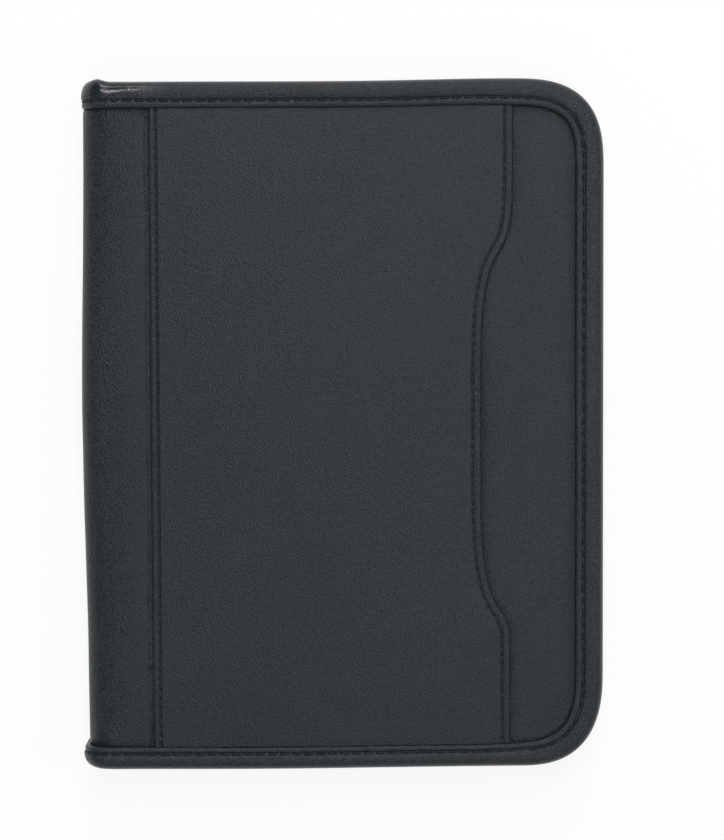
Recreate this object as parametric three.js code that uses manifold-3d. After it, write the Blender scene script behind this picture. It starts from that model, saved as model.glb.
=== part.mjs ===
// A small zip-around padfolio, closed and lying on its back cover.
//
// Millimetres. X runs from the spine (-X) to the fore edge (+X), Y from the tail (-Y) to the
// head (+Y), and Z up through the closed case, from the back cover at 0 to the front cover.
// The origin is under the middle of the closed case.
//
// The covers open on two folds, one on each side of the spine. Each turns about a line along Y,
// 2.9 mm in from the outside of the spine and 3 mm in from the outside of its cover, so that the
// leather that goes round the corner at rest lies flat when the case is open.
import * as THREE from "three";
import { mergeVertices } from "three/addons/utils/BufferGeometryUtils.js";
import Module from "manifold-3d";

// Whole case
const caseWidth = 180; // spine to fore edge
const caseHeight = 238; // tail to head
const caseDepth = 26; // closed, over the rolled edges
const cornerRadius = 25; // of both corners at the fore edge
const capProud = 0.7; // how far the spine caps stand out past the bands and the spine

// Clearances
const glueLine = 0.1; // between layers that are glued or sewn to each other
const edgeGap = 0.3; // between neighbours that meet edge to edge
const runningGap = 0.3; // between pieces that slide or turn past each other

// Leather and boards
const leatherThickness = 1.3;
const pocketThickness = 1.2;
const frontFoamThickness = 1.2;
const backFoamThickness = 1.5;
const boardThickness = 1.6;
const liningThickness = 0.5;

// Edge band: a turned flange on the cover, a stitched groove, and a roll that turns in to the zip
const seamInset = 6.8; // from the outer edge to the stitch line
const flangeWidth = 2.6; // from the stitch line to the flange's inner edge
const flangeDrop = 0.9; // from the crown of the roll down to the flange
const flangeThickness = 2.0; // leather turned double
const grooveDepth = 0.45; // how far the stitches pull the leather down
const rollLeather = 1.2;
const rollCrownInset = 3.9;
const rollShoulder = 5.2; // depth at which the side of the roll stands upright
const rollDepth = 8.7; // from the crown to the underside of the turned-in lip
const lipInset = 4.8; // how far the lip turns in
const lipThickness = 1.1;
const boardInset = 3.0; // from the outer edge to the boards

// Spine
const foldRadius = 8; // outside radius of the leather round each corner of the spine
const hingeGap = 3.9; // from the cover leather's end to the boards, bare so that the fold bends
const spineBoardThickness = 1.4;
const capRollDepth = 6.4;
const capShoulder = 4.4;
const capCrownInset = 5.0;
const capLipInset = 3.4;
const capFlangeDrop = 0.5;

// Front pocket
const pocketFromFold = 15.2; // from the flat of the cover's start to the pocket's stitched edge
const waveHeadInset = 31.7; // from the fore edge to the free edge at the head
const waveTailInset = 32.8; // and at the tail
const waveWaistInset = 42.8; // and at its waist
const waveHeadStartInset = 33.2; // from the head to where the free edge leaves its end there
const waveHeadEndInset = 99.5; // and to where it reaches the waist
const waveTailStartInset = 94.5; // from the tail to where it leaves the waist
const waveTailEndInset = 42.6; // and to where it reaches its end there
const waveHeadPulls = [38.6, 55.9]; // lengths of the curve's handles, first end and second end
const waveTailPulls = [48.2, 18.5];
const turnedEdgeRadius = 0.4;

// Notepad and its pocket
const padFromHinge = 24.1; // from the boards' start at the spine to the pad
const padForeInset = 16; // from the fore edge to the pad
const padEndInset = 16.8; // from the head and the tail to the pad
const sheetsThickness = 4;
const backingThickness = 0.8;
const headerTape = 0.3;
const headerReach = 14;
const padPocketThickness = 0.6;
const padPocketHeight = 78;
const padPocketMargin = 3; // past the pad on each side and below

// Pen loop
const penLoopToPad = 1.5; // from its tab to the pad
const penLoopRoom = 1.6; // from its top to the document pocket
const penLoopY = 20;
const penLoopLength = 24;
const penLoopWidth = 14;
const penLoopWall = 1.1;
const penLoopTab = 5;

// Organiser inside the front cover
const organiserLeaf = 0.7;
const documentPocketFromHinge = 7.1; // from the boards' start at the spine
const documentPocketHeadInset = 22.3;
const documentPocketMargin = 9.5; // from the outer edge
const cardSlotWidth = 98;
const cardSlotsFromTop = 6; // from the document pocket's top to the top slot's
const cardSlotHeight = 34;
const cardSlotStep = 11;
const cardSlotCount = 3;
const windowHeight = 60;
const windowToSlots = 6;
const windowFrame = 6;
const filmThickness = 0.3;

// Zip
const stopLength = 3;
const tapeThickness = 0.6;
const tapeInset = 5.1; // from the outer edge to the tape's outer face
const coilThickness = 1.4;
const coilReach = 2.9; // from the chain's middle to the outer side of each coil row
const rowGap = 0.6; // from the chain's middle to each coil row

// Slider and pull, on the tail side
const sliderParked = 11; // from the chain's start to the middle of the slider
const sliderLength = 11;
const sliderToLip = 0.5; // from its sides to the turned-in lips of the bands
const sliderPlate = 1.0;
const sliderPost = 4; // length of the web between the plates
const bailSpan = 7.6;
const bailWidth = 2.2;
const bailBar = 0.7;
const bailRoom = 1.4; // clear height under the bail
const linkLength = 10;
const linkWidth = 5.8;
const linkWire = 0.8;
const linkThickness = 0.7;
const tabLength = 24;
const tabWidth = 6.8;
const tabNeck = 3.0;
const tabThickness = 2.2;

// Smoothness of round stretches
const cornerSteps = 12;
const foldSteps = 7;
const curveSteps = 4;

// Places worked out from the sizes
const foreX = caseWidth / 2;
const bandHalf = caseHeight / 2 - capProud;
const spineX = -caseWidth / 2 + capProud;
const flatX = spineX + foldRadius; // where the round of the spine meets the flat cover
const coverStart = flatX + edgeGap;
const boardStart = coverStart + hingeGap;
const flangeInset = seamInset + flangeWidth;
const chainMiddle = caseDepth / 2;
const padLeft = boardStart + padFromHinge;
const padRight = foreX - padForeInset;
const padHalf = bandHalf - padEndInset;

// Heights of the back layers, from the outside in
const backBoardLow = flangeDrop + flangeThickness + glueLine;
const backLiningLow = backBoardLow + boardThickness + glueLine;
const backLiningTop = backLiningLow + liningThickness;
const headerLow = backLiningTop + glueLine;
const backingLow = headerLow + headerTape + glueLine;
const padPocketLow = backingLow + backingThickness + glueLine;
const sheetsLow = padPocketLow + padPocketThickness + glueLine;
const sheetsTop = sheetsLow + sheetsThickness;

// Heights of the front layers, from the outside in
const frontLeatherTop = caseDepth - flangeDrop - flangeThickness - glueLine;
const pocketLow = frontLeatherTop + glueLine;
const frontLeatherLow = frontLeatherTop - leatherThickness;
const frontFoamLow = frontLeatherLow - glueLine - frontFoamThickness;
const frontBoardLow = frontFoamLow - glueLine - boardThickness;
const frontLiningLow = frontBoardLow - glueLine - liningThickness;
const documentPocketLow = frontLiningLow - glueLine - organiserLeaf;
const penLoopHeight = documentPocketLow - penLoopRoom - headerLow;

const finish = (color, roughness, metalness = 0) =>
  new THREE.MeshStandardMaterial({ color, roughness, metalness });
const leather = finish("#363b3e", 0.5);
const spineLeather = finish("#2d3134", 0.52);
const liningCloth = finish("#3c3f42", 0.85);
const innerLeather = finish("#3a3e41", 0.55);
const foamFinish = finish("#b9b6ae", 0.95);
const boardFinish = finish("#8d8475", 0.9);
const paperFinish = finish("#f1efe6", 0.9);
const cardFinish = finish("#a79877", 0.9);
const headerFinish = finish("#2b2d30", 0.8);
const tapeFinish = finish("#232527", 0.9);
const coilFinish = finish("#2b2d2f", 0.45);
const metalFinish = finish("#5a5c5f", 0.3, 1);
const filmFinish = finish("#dfe6e8", 0.1);

const wasm = await Module();
wasm.setup();

// A three.js geometry as a solid that can be joined and cut.
function solidOf(geometry) {
  const bare = geometry.clone();
  bare.deleteAttribute("normal");
  bare.deleteAttribute("uv");
  const merged = mergeVertices(bare, 1e-4);
  return new wasm.Manifold(
    new wasm.Mesh({
      numProp: 3,
      vertProperties: merged.attributes.position.array,
      triVerts: new Uint32Array(merged.index.array),
    }),
  );
}

// A solid back as a three.js geometry.
function geometryOf(solid) {
  const mesh = solid.getMesh();
  return new THREE.BufferGeometry()
    .setAttribute("position", new THREE.BufferAttribute(mesh.vertProperties, 3))
    .setIndex(new THREE.BufferAttribute(mesh.triVerts, 1));
}

const joined = (geometries) =>
  geometryOf(geometries.map(solidOf).reduce((whole, piece) => whole.add(piece)));
const cut = (geometry, tool) => geometryOf(solidOf(geometry).subtract(solidOf(tool)));

// A box by its low and high corners.
function block(low, high) {
  const [x, y, z] = low.map((value, axis) => (value + high[axis]) / 2);
  const size = low.map((value, axis) => high[axis] - value);
  return new THREE.BoxGeometry(...size).translate(x, y, z);
}

// An outline in X and Y made thick upwards from a height.
function slab(outline, low, thickness, steps = cornerSteps) {
  const options = { depth: thickness, bevelEnabled: false, curveSegments: steps };
  return new THREE.ExtrudeGeometry(outline, options).translate(0, 0, low);
}

// The same with rounded rims, for leather whose edges are turned.
function softSlab(outline, low, thickness, radius) {
  const options = {
    depth: thickness - 2 * radius,
    bevelThickness: radius,
    bevelSize: radius,
    bevelOffset: -radius,
    bevelSegments: 2,
    curveSegments: cornerSteps,
  };
  return new THREE.ExtrudeGeometry(outline, options).translate(0, 0, low + radius);
}

// An outline in X and Z made thick along Y from its outer face at y towards +Y.
function uprightSlab(outline, y, thickness) {
  const options = { depth: thickness, bevelEnabled: false, curveSegments: curveSteps };
  const flat = new THREE.ExtrudeGeometry(outline, options);
  return flat.rotateX(Math.PI / 2).translate(0, y + thickness, 0);
}

// A rectangle from corner to corner, with corners rounded by one radius if it has one.
function rectangle(left, low, right, high, radius = 0) {
  const outline = new THREE.Shape();
  if (!radius) {
    outline.moveTo(left, low).lineTo(right, low).lineTo(right, high).lineTo(left, high);
    return outline;
  }
  outline.moveTo(left + radius, low).lineTo(right - radius, low);
  outline.absarc(right - radius, low + radius, radius, -Math.PI / 2, 0);
  outline.absarc(right - radius, high - radius, radius, 0, Math.PI / 2);
  outline.absarc(left + radius, high - radius, radius, Math.PI / 2, Math.PI);
  outline.absarc(left + radius, low + radius, radius, Math.PI, 1.5 * Math.PI);
  return outline;
}

// The outline of a cover's layer, inset from the outer edge, square at the fold side.
function coverOutline(inset, start) {
  const right = foreX - inset;
  const half = bandHalf - inset;
  const radius = cornerRadius - inset;
  const outline = new THREE.Shape();
  outline.moveTo(start, -half).lineTo(right - radius, -half);
  outline.absarc(right - radius, radius - half, radius, -Math.PI / 2, 0);
  outline.absarc(right - radius, half - radius, radius, 0, Math.PI / 2);
  outline.lineTo(start, half);
  return outline;
}

// A path with set stations, so that a section carried along it turns only where the path does.
// The section's first axis points in towards the turn, and its second lies along the turn's axis.
class StationPath extends THREE.Curve {
  constructor(stations, axis) {
    super();
    this.stations = stations;
    this.axis = axis;
  }

  station(share) {
    return this.stations[Math.round(share * (this.stations.length - 1))];
  }

  getPointAt(share, target = new THREE.Vector3()) {
    return target.copy(this.station(share).point);
  }

  getTangentAt(share, target = new THREE.Vector3()) {
    return target.copy(this.station(share).heading);
  }

  computeFrenetFrames() {
    const tangents = this.stations.map(({ heading }) => heading);
    const normals = tangents.map((heading) => this.axis.clone().cross(heading));
    const binormals = tangents.map(() => this.axis.clone());
    return { tangents, normals, binormals };
  }
}

// Stations round an arc, in the plane that place puts it in.
function arcStations(centre, radius, from, to, steps, place) {
  return Array.from({ length: steps + 1 }, (_, step) => {
    const angle = from + ((to - from) * step) / steps;
    const [across, up] = [Math.cos(angle), Math.sin(angle)];
    return {
      point: place(centre[0] + radius * across, centre[1] + radius * up),
      heading: place(-up, across),
    };
  });
}

const inPlan = (x, y) => new THREE.Vector3(x, y, 0);
const inProfile = (x, z) => new THREE.Vector3(x, 0, z);
const planAxis = new THREE.Vector3(0, 0, 1);
const profileAxis = new THREE.Vector3(0, -1, 0);

// The outer edge of a cover: along the tail, round the fore edge and back along the head.
function coverStations(start = coverStart) {
  const tail = [foreX - cornerRadius, cornerRadius - bandHalf];
  const head = [foreX - cornerRadius, bandHalf - cornerRadius];
  const quarter = Math.PI / 2;
  return [
    { point: inPlan(start, -bandHalf), heading: inPlan(1, 0) },
    ...arcStations(tail, cornerRadius, -quarter, 0, cornerSteps, inPlan),
    ...arcStations(head, cornerRadius, 0, quarter, cornerSteps, inPlan),
    { point: inPlan(start, bandHalf), heading: inPlan(-1, 0) },
  ];
}

// The outside of the spine, from the front cover round to the back cover.
function spineStations(outerX, top) {
  const centreX = outerX + foldRadius;
  const half = Math.PI / 2;
  const turn = (z, from) =>
    arcStations([centreX, z], foldRadius, from, from + half, foldSteps, inProfile);
  return [...turn(top - foldRadius, half), ...turn(foldRadius, 2 * half)];
}

// A closed section carried along stations.
function sweep(section, stations, axis) {
  return new THREE.ExtrudeGeometry(section, {
    steps: stations.length - 1,
    extrudePath: new StationPath(stations, axis),
    curveSegments: curveSteps,
  });
}

// The edge band's section. place turns a depth below the crown and an inset from the outer edge
// into the section's own axes.
function bandSection(place, sizes) {
  const { drop, crown, shoulder, depth, lip, proud } = sizes;
  const seam = seamInset + proud;
  const inner = flangeInset + proud;
  const under = drop + flangeThickness;
  const groove = drop + grooveDepth;
  const round = 0.5;
  const section = new THREE.Shape();
  const line = (d, u) => section.lineTo(...place(d, u));
  const curve = (...pairs) =>
    section.bezierCurveTo(...pairs.flatMap(([d, u]) => place(d, u)));
  section.moveTo(...place(under, inner));
  line(drop + round, inner);
  curve([drop, inner], [drop, inner], [drop, inner - round]);
  line(drop, seam + 0.8);
  curve([drop, seam + 0.4], [groove, seam + 0.4], [groove, seam]);
  curve([groove, seam - 0.6], [0, crown + 1.7], [0, crown]);
  curve([0, 0.46 * crown], [0.4 * shoulder, 0], [shoulder, 0]);
  curve([depth - 1.5, 0], [depth, 1.2], [depth, lip - 1.6]);
  line(depth, lip);
  line(depth - lipThickness, lip);
  line(depth - lipThickness, lip - 1.6);
  curve([depth - lipThickness, rollLeather + 0.8], [depth - 1.9, rollLeather], [shoulder, rollLeather]);
  curve([0.65 * shoulder, rollLeather], [under, 2.0], [under, 3.0]);
  return section;
}

const coverBand = {
  drop: flangeDrop,
  crown: rollCrownInset,
  shoulder: rollShoulder,
  depth: rollDepth,
  lip: lipInset,
  proud: 0,
};
const capBand = {
  drop: capFlangeDrop,
  crown: capCrownInset,
  shoulder: capShoulder,
  depth: capRollDepth,
  lip: capLipInset,
  proud: capProud,
};

// A strip that follows the cover's edge, between two heights and two insets.
function edgeStrip(low, high, outer, inner, start = coverStart) {
  return sweep(rectangle(outer, low, inner, high), coverStations(start), planAxis);
}

const root = new THREE.Group();
const backCover = new THREE.Group();
const spine = new THREE.Group();
const frontCover = new THREE.Group();
const slider = new THREE.Group();
const pull = new THREE.Group();
root.add(backCover, spine, frontCover, slider);
slider.add(pull);

function add(group, name, geometry, material) {
  const mesh = new THREE.Mesh(geometry, material);
  mesh.name = name;
  group.add(mesh);
}

// Back cover: skin, foam, board and lining, and the band that closes their edges
function addBackCover() {
  const skin = coverOutline(flangeInset + edgeGap, coverStart);
  const foam = coverOutline(flangeInset + edgeGap, boardStart);
  const board = coverOutline(boardInset, boardStart);
  const foamLow = leatherThickness + glueLine;
  const foamHeight = Math.min(backFoamThickness, backBoardLow - glueLine - foamLow);
  add(backCover, "back_leather", softSlab(skin, 0, leatherThickness, turnedEdgeRadius), leather);
  add(backCover, "back_foam", slab(foam, foamLow, foamHeight), foamFinish);
  add(backCover, "back_board", slab(board, backBoardLow, boardThickness), boardFinish);
  add(backCover, "back_lining", slab(board, backLiningLow, liningThickness), liningCloth);
  const section = bandSection((d, u) => [u, d], coverBand);
  add(backCover, "back_edge_band", sweep(section, coverStations(), planAxis), leather);
}

// The free edge of the front pocket: straight, then in to the waist and out again.
function pocketOutline() {
  const half = bandHalf - flangeInset - edgeGap;
  const left = coverStart + pocketFromFold;
  const headX = foreX - waveHeadInset;
  const tailX = foreX - waveTailInset;
  const waistX = foreX - waveWaistInset;
  const [tailEnd, tailStart] = [waveTailEndInset - bandHalf, waveTailStartInset - bandHalf];
  const [headStart, headEnd] = [bandHalf - waveHeadStartInset, bandHalf - waveHeadEndInset];
  const [tailStartPull, tailEndPull] = waveTailPulls;
  const [headStartPull, headEndPull] = waveHeadPulls;
  const outline = new THREE.Shape();
  const curve = (...places) => outline.bezierCurveTo(...places.flat());
  outline.moveTo(left, -half).lineTo(tailX, -half).lineTo(tailX, tailEnd);
  curve([tailX, tailEnd + tailEndPull], [waistX, tailStart - tailStartPull], [waistX, tailStart]);
  outline.lineTo(waistX, headEnd);
  curve([waistX, headEnd + headEndPull], [headX, headStart - headStartPull], [headX, headStart]);
  outline.lineTo(headX, half).lineTo(left, half);
  return outline;
}

// Front cover: skin and pocket panel over foam, board and lining, and its band
function addFrontCover() {
  const skin = coverOutline(boardInset, coverStart);
  const board = coverOutline(boardInset, boardStart);
  const lining = coverOutline(tapeInset + tapeThickness + edgeGap, boardStart);
  const pocket = softSlab(pocketOutline(), pocketLow, pocketThickness, turnedEdgeRadius);
  add(frontCover, "front_pocket_panel", pocket, leather);
  add(frontCover, "front_leather", slab(skin, frontLeatherLow, leatherThickness), leather);
  add(frontCover, "front_foam", slab(board, frontFoamLow, frontFoamThickness), foamFinish);
  add(frontCover, "front_board", slab(board, frontBoardLow, boardThickness), boardFinish);
  add(frontCover, "front_lining", slab(lining, frontLiningLow, liningThickness), liningCloth);
  const section = bandSection((d, u) => [u, caseDepth - d], coverBand);
  add(frontCover, "front_edge_band", sweep(section, coverStations(), planAxis), leather);
}

// Spine: the skin round both folds, a stiff board, its lining, and a cap at each end
function addSpine() {
  const skinHalf = bandHalf - flangeInset - edgeGap;
  const skin = rectangle(0, -skinHalf, leatherThickness, skinHalf);
  const skinPath = spineStations(spineX, frontLeatherTop);
  add(spine, "spine_leather", sweep(skin, skinPath, profileAxis), spineLeather);
  const low = foldRadius;
  const high = frontLeatherTop - foldRadius;
  const boardX = spineX + leatherThickness + glueLine;
  const liningX = boardX + spineBoardThickness + glueLine;
  const board = block([boardX, -skinHalf, low], [boardX + spineBoardThickness, skinHalf, high]);
  const lining = block([liningX, -skinHalf, low], [liningX + liningThickness, skinHalf, high]);
  add(spine, "spine_board", board, boardFinish);
  add(spine, "spine_lining", lining, liningCloth);
  const capPath = spineStations(-caseWidth / 2, caseDepth);
  const head = sweep(bandSection((d, u) => [d, u], capBand), capPath, profileAxis);
  const tail = sweep(bandSection((d, u) => [d, -u], capBand), capPath, profileAxis);
  add(spine, "head_spine_cap", head.translate(0, caseHeight / 2, 0), spineLeather);
  add(spine, "tail_spine_cap", tail.translate(0, -caseHeight / 2, 0), spineLeather);
}

// Zip: two tapes, each with a coil row on its outer face that ends in a stop at head and tail
function addZip() {
  const coilOuter = tapeInset - glueLine - coilThickness;
  const coilInner = coilOuter + coilThickness;
  const coilStart = coverStart + stopLength + edgeGap;
  const tapeInner = tapeInset + tapeThickness;
  const strip = (low, high) => edgeStrip(low, high, tapeInset, tapeInner);
  const row = (low, high) => edgeStrip(low, high, coilOuter, coilInner, coilStart);
  const frontTapeTop = frontBoardLow - edgeGap;
  const backTapeLow = backLiningTop + edgeGap;
  const near = rowGap;
  const far = coilReach;
  add(backCover, "back_zip_tape", strip(backTapeLow, chainMiddle - near), tapeFinish);
  add(backCover, "back_zip_coil", row(chainMiddle - far, chainMiddle - near), coilFinish);
  add(frontCover, "front_zip_tape", strip(chainMiddle + near, frontTapeTop), tapeFinish);
  add(frontCover, "front_zip_coil", row(chainMiddle + near, chainMiddle + far), coilFinish);
  const ends = [
    ["head", bandHalf - coilInner, bandHalf - coilOuter],
    ["tail", coilOuter - bandHalf, coilInner - bandHalf],
  ];
  for (const [end, from, to] of ends) {
    const stop = (low, high) =>
      block([coverStart, from, low], [coverStart + stopLength, to, high]);
    const backStop = stop(chainMiddle - far, chainMiddle - near);
    const frontStop = stop(chainMiddle + near, chainMiddle + far);
    add(backCover, "back_zip_stop_" + end, backStop, metalFinish);
    add(frontCover, "front_zip_stop_" + end, frontStop, metalFinish);
  }
}

// Notepad: a backing card, the sheets on it, and a header tape round their bound edge
function addNotepad() {
  const backingTop = backingLow + backingThickness;
  const backing = block([padLeft, -padHalf, backingLow], [padRight, padHalf, backingTop]);
  const sheets = block([padLeft, -padHalf, sheetsLow], [padRight, padHalf, sheetsTop]);
  const outside = padHalf + edgeGap + headerTape;
  const wrap = block(
    [padLeft, padHalf - headerReach, headerLow],
    [padRight, outside, sheetsTop + glueLine + headerTape],
  );
  const room = block(
    [padLeft - 1, padHalf - headerReach - 1, headerLow + headerTape],
    [padRight + 1, outside - headerTape, sheetsTop + glueLine],
  );
  add(backCover, "notepad_backing", backing, cardFinish);
  add(backCover, "notepad_sheets", sheets, paperFinish);
  add(backCover, "notepad_header", cut(wrap, room), headerFinish);
}

// A leaf over the lower part of the backing card, sewn down past the card's edges.
function addPadPocket() {
  const low = headerLow;
  const left = padLeft - padPocketMargin;
  const right = padRight + padPocketMargin;
  const bottom = -padHalf - padPocketMargin;
  const top = bottom + padPocketHeight;
  const leafTop = padPocketLow + padPocketThickness;
  const leaf = slab(rectangle(left, bottom, right, top, 2), low, leafTop - low, curveSteps);
  const room = block(
    [left + padPocketMargin - edgeGap, bottom + padPocketMargin - edgeGap, low - 1],
    [right - padPocketMargin + edgeGap, top + 1, padPocketLow],
  );
  add(backCover, "pad_pocket", cut(leaf, room), innerLeather);
}

// Pen loop: a flattened leather ring with a sewn tab, standing on the back lining
function addPenLoop() {
  const low = headerLow;
  const radius = penLoopHeight / 2;
  const right = padLeft - penLoopToPad - penLoopTab;
  const left = right - penLoopWidth;
  const ring = rectangle(left, low, right, low + penLoopHeight, radius);
  const bore = rectangle(
    left + penLoopWall,
    low + penLoopWall,
    right - penLoopWall,
    low + penLoopHeight - penLoopWall,
    radius - penLoopWall,
  );
  const start = penLoopY - penLoopLength / 2;
  const loop = cut(
    uprightSlab(ring, start, penLoopLength),
    uprightSlab(bore, start - 1, penLoopLength + 2),
  );
  const tab = block(
    [right - penLoopWidth / 2, start, low],
    [right + penLoopTab, start + penLoopLength, low + penLoopWall],
  );
  add(backCover, "pen_loop", joined([loop, tab]), innerLeather);
}

// Organiser: a document pocket, card slots that step down it, and a framed clear window
function addOrganiser() {
  const inset = documentPocketMargin;
  const half = bandHalf - inset;
  const pocket = new THREE.Shape();
  const radius = cornerRadius - inset;
  const foldSide = boardStart + documentPocketFromHinge;
  const pocketTop = bandHalf - documentPocketHeadInset;
  pocket.moveTo(foldSide, -half).lineTo(foreX - inset - radius, -half);
  pocket.absarc(foreX - inset - radius, radius - half, radius, -Math.PI / 2, 0);
  pocket.lineTo(foreX - inset, bandHalf - cornerRadius);
  pocket.lineTo(foreX - 2 * inset, pocketTop).lineTo(foldSide, pocketTop);
  add(frontCover, "document_pocket", slab(pocket, documentPocketLow, organiserLeaf), innerLeather);
  const right = padRight;
  const left = right - cardSlotWidth;
  const slotTop = pocketTop - cardSlotsFromTop - (cardSlotCount - 1) * cardSlotStep;
  const slotBottom = slotTop - cardSlotHeight;
  for (let slot = 0; slot < cardSlotCount; slot += 1) {
    const low = documentPocketLow - (slot + 1) * (organiserLeaf + glueLine);
    const top = slotTop + (cardSlotCount - 1 - slot) * cardSlotStep;
    const leaf = rectangle(left, slotBottom, right, top, 1.5);
    add(frontCover, "card_slot_" + (slot + 1), slab(leaf, low, organiserLeaf, curveSteps), innerLeather);
  }
  const frameLow = documentPocketLow - glueLine - organiserLeaf;
  const windowTop = slotBottom - windowToSlots;
  const bottom = windowTop - windowHeight;
  const outer = rectangle(left, bottom, right, windowTop, 2);
  outer.holes.push(
    rectangle(
      left + windowFrame,
      bottom + windowFrame,
      right - windowFrame,
      windowTop - windowFrame,
      2,
    ),
  );
  const frame = slab(outer, frameLow, organiserLeaf, curveSteps);
  add(frontCover, "window_frame", frame, innerLeather);
  const reach = windowFrame + edgeGap;
  const film = rectangle(
    left + reach,
    bottom + reach,
    right - reach,
    windowTop - reach,
    2 - edgeGap,
  );
  const filmLow = documentPocketLow - glueLine - filmThickness;
  add(frontCover, "clear_window", slab(film, filmLow, filmThickness, curveSteps), filmFinish);
}

// Slider: two plates round the coil rows, the web between them, and the bail over the outer one.
// Its own middle is at the chain's middle, on the outer face of the tail side.
function addSlider() {
  const outerFace = tapeInset - glueLine - coilThickness - runningGap - sliderPlate;
  const innerFace = tapeInset + tapeThickness + runningGap;
  const sliderWidth = caseDepth - 2 * (rollDepth + sliderToLip);
  const plate = rectangle(
    -sliderLength / 2,
    -sliderWidth / 2,
    sliderLength / 2,
    sliderWidth / 2,
    2.2,
  );
  const web = block(
    [-sliderLength / 2 + 1, outerFace + sliderPlate / 2, runningGap - rowGap],
    [-sliderLength / 2 + 1 + sliderPost, innerFace + sliderPlate / 2, rowGap - runningGap],
  );
  const bailTop = outerFace - bailRoom - bailBar;
  const bail = block(
    [-bailSpan / 2, bailTop, -bailWidth / 2],
    [bailSpan / 2, outerFace + sliderPlate / 2, bailWidth / 2],
  );
  const room = block(
    [-bailSpan / 2 + bailBar, bailTop + bailBar, -bailWidth],
    [bailSpan / 2 - bailBar, outerFace, bailWidth],
  );
  const body = joined([
    uprightSlab(plate, outerFace, sliderPlate),
    uprightSlab(plate, innerFace, sliderPlate),
    web,
    cut(bail, room),
  ]);
  slider.position.set(coverStart + sliderParked, -bandHalf, chainMiddle);
  add(slider, "zip_slider", body, metalFinish);

  // The pull turns about the link's bar under the bail.
  pull.position.set(0, outerFace - bailRoom / 2, 0);
  const wire = linkWire;
  const half = linkThickness / 2;
  const link = rectangle(-wire / 2, -linkWidth / 2, linkLength, linkWidth / 2, wire / 4);
  link.holes.push(
    rectangle(
      wire / 2,
      wire - linkWidth / 2,
      linkLength - wire,
      linkWidth / 2 - wire,
      wire / 4,
    ),
  );
  add(pull, "pull_link", uprightSlab(link, -half, linkThickness), metalFinish);
  const neckStart = linkLength - wire - runningGap - 1.4;
  const bodyStart = linkLength + runningGap + 0.6;
  const end = neckStart + tabLength;
  const edge = tabWidth / 2;
  const neck = tabNeck / 2;
  const outline = new THREE.Shape();
  outline.moveTo(neckStart, -neck).lineTo(bodyStart, -neck).lineTo(bodyStart + 1.4, -edge);
  outline.absarc(end - edge, 0, edge, -Math.PI / 2, Math.PI / 2);
  outline.lineTo(bodyStart + 1.4, edge).lineTo(bodyStart, neck).lineTo(neckStart, neck);
  const loopRoom = half + runningGap;
  const eye = block(
    [linkLength - wire - runningGap, -loopRoom, -tabNeck],
    [linkLength + runningGap, loopRoom, tabNeck],
  );
  const tab = cut(uprightSlab(outline, -tabThickness / 2, tabThickness), eye);
  add(pull, "pull_tab", tab, leather);
}

addBackCover();
addFrontCover();
addSpine();
addZip();
addNotepad();
addPadPocket();
addPenLoop();
addOrganiser();
addSlider();

export default root;
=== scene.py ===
"""The looks of a small zip-around padfolio in charcoal leather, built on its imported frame.

Sizes in this file are millimetres until a mesh is made. X runs from the spine to the fore edge, Y
from the tail to the head, and Z up through the closed case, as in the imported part.

What goes round the spine is laid out flat first: s is the distance across the cover along its
outside, equal to X on the flat of it, y is Y, and the depth is measured in from the outside. The
layout is then wrapped round the fold between the cover and the spine.
"""

import math

import bmesh
import bpy
import numpy as np
from mathutils import Matrix, Vector


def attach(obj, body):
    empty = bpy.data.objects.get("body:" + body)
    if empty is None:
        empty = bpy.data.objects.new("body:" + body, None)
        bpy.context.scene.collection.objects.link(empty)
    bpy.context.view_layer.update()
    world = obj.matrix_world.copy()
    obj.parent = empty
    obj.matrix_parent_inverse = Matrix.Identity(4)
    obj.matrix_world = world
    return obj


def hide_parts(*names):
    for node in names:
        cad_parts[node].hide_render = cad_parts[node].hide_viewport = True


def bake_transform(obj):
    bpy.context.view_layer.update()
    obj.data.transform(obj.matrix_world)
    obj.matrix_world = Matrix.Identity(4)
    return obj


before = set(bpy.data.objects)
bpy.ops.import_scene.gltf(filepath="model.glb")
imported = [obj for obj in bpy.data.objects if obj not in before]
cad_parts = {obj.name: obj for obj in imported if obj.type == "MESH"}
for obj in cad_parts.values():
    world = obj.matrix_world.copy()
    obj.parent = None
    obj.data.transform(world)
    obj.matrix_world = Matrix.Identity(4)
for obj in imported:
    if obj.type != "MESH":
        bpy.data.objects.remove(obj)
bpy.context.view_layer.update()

MM = 0.001

# The case
DEPTH = 26.0
MIDDLE = DEPTH / 2
FORE = 90.0  # the outer edge of the bands
END = 118.3
# How far each fore corner reaches along X and along Y, and how full it is
HEAD_CORNER = (30.5, 30.5, 2.8)
TAIL_CORNER = (28.5, 33.0, 2.55)
HEAD_BULGE, TAIL_BULGE = 0.85, 0.45  # how far the long edge swells out at each end
CAP_PROUD = {"head": 0.9, "tail": -0.2}  # how far each spine cap stands out past END
FOLD_RADIUS = 8.0
CROWN_FOLD = (-82.0, DEPTH)  # where the rolled band leaves the flat of the cover, and its height
SKIN_FOLD = (-81.3, 23.0)  # the same for the leather
BACK_SKIN_FOLD = (-81.3, DEPTH)
# From the spine to each cover, in X and Z: where what goes round the fold starts and stops bending
FOLDS = {
    "front_cover": ((-87.6, 16.7), (-81.3, 23.0)),
    "back_cover": ((-88.0, 8.2), (-81.3, 1.5)),
}

# Heights in the closed case, at rest
BACK_LINING_TOP, FRONT_LINING_TOP = 4.7, 18.6
PAD_FOOT = 5.3
BACKING = (5.7, 6.5)
SHEETS = (7.3, 11.3)
DOCUMENT_POCKET = (17.3, 18.0)
SLOT_FACE = 16.5  # the visible face of the first card slot and of the window's frame
LEAF = 0.7  # the thickness of a card slot
LEAF_STEP = 0.8  # each card slot lies this much over the one before
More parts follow.
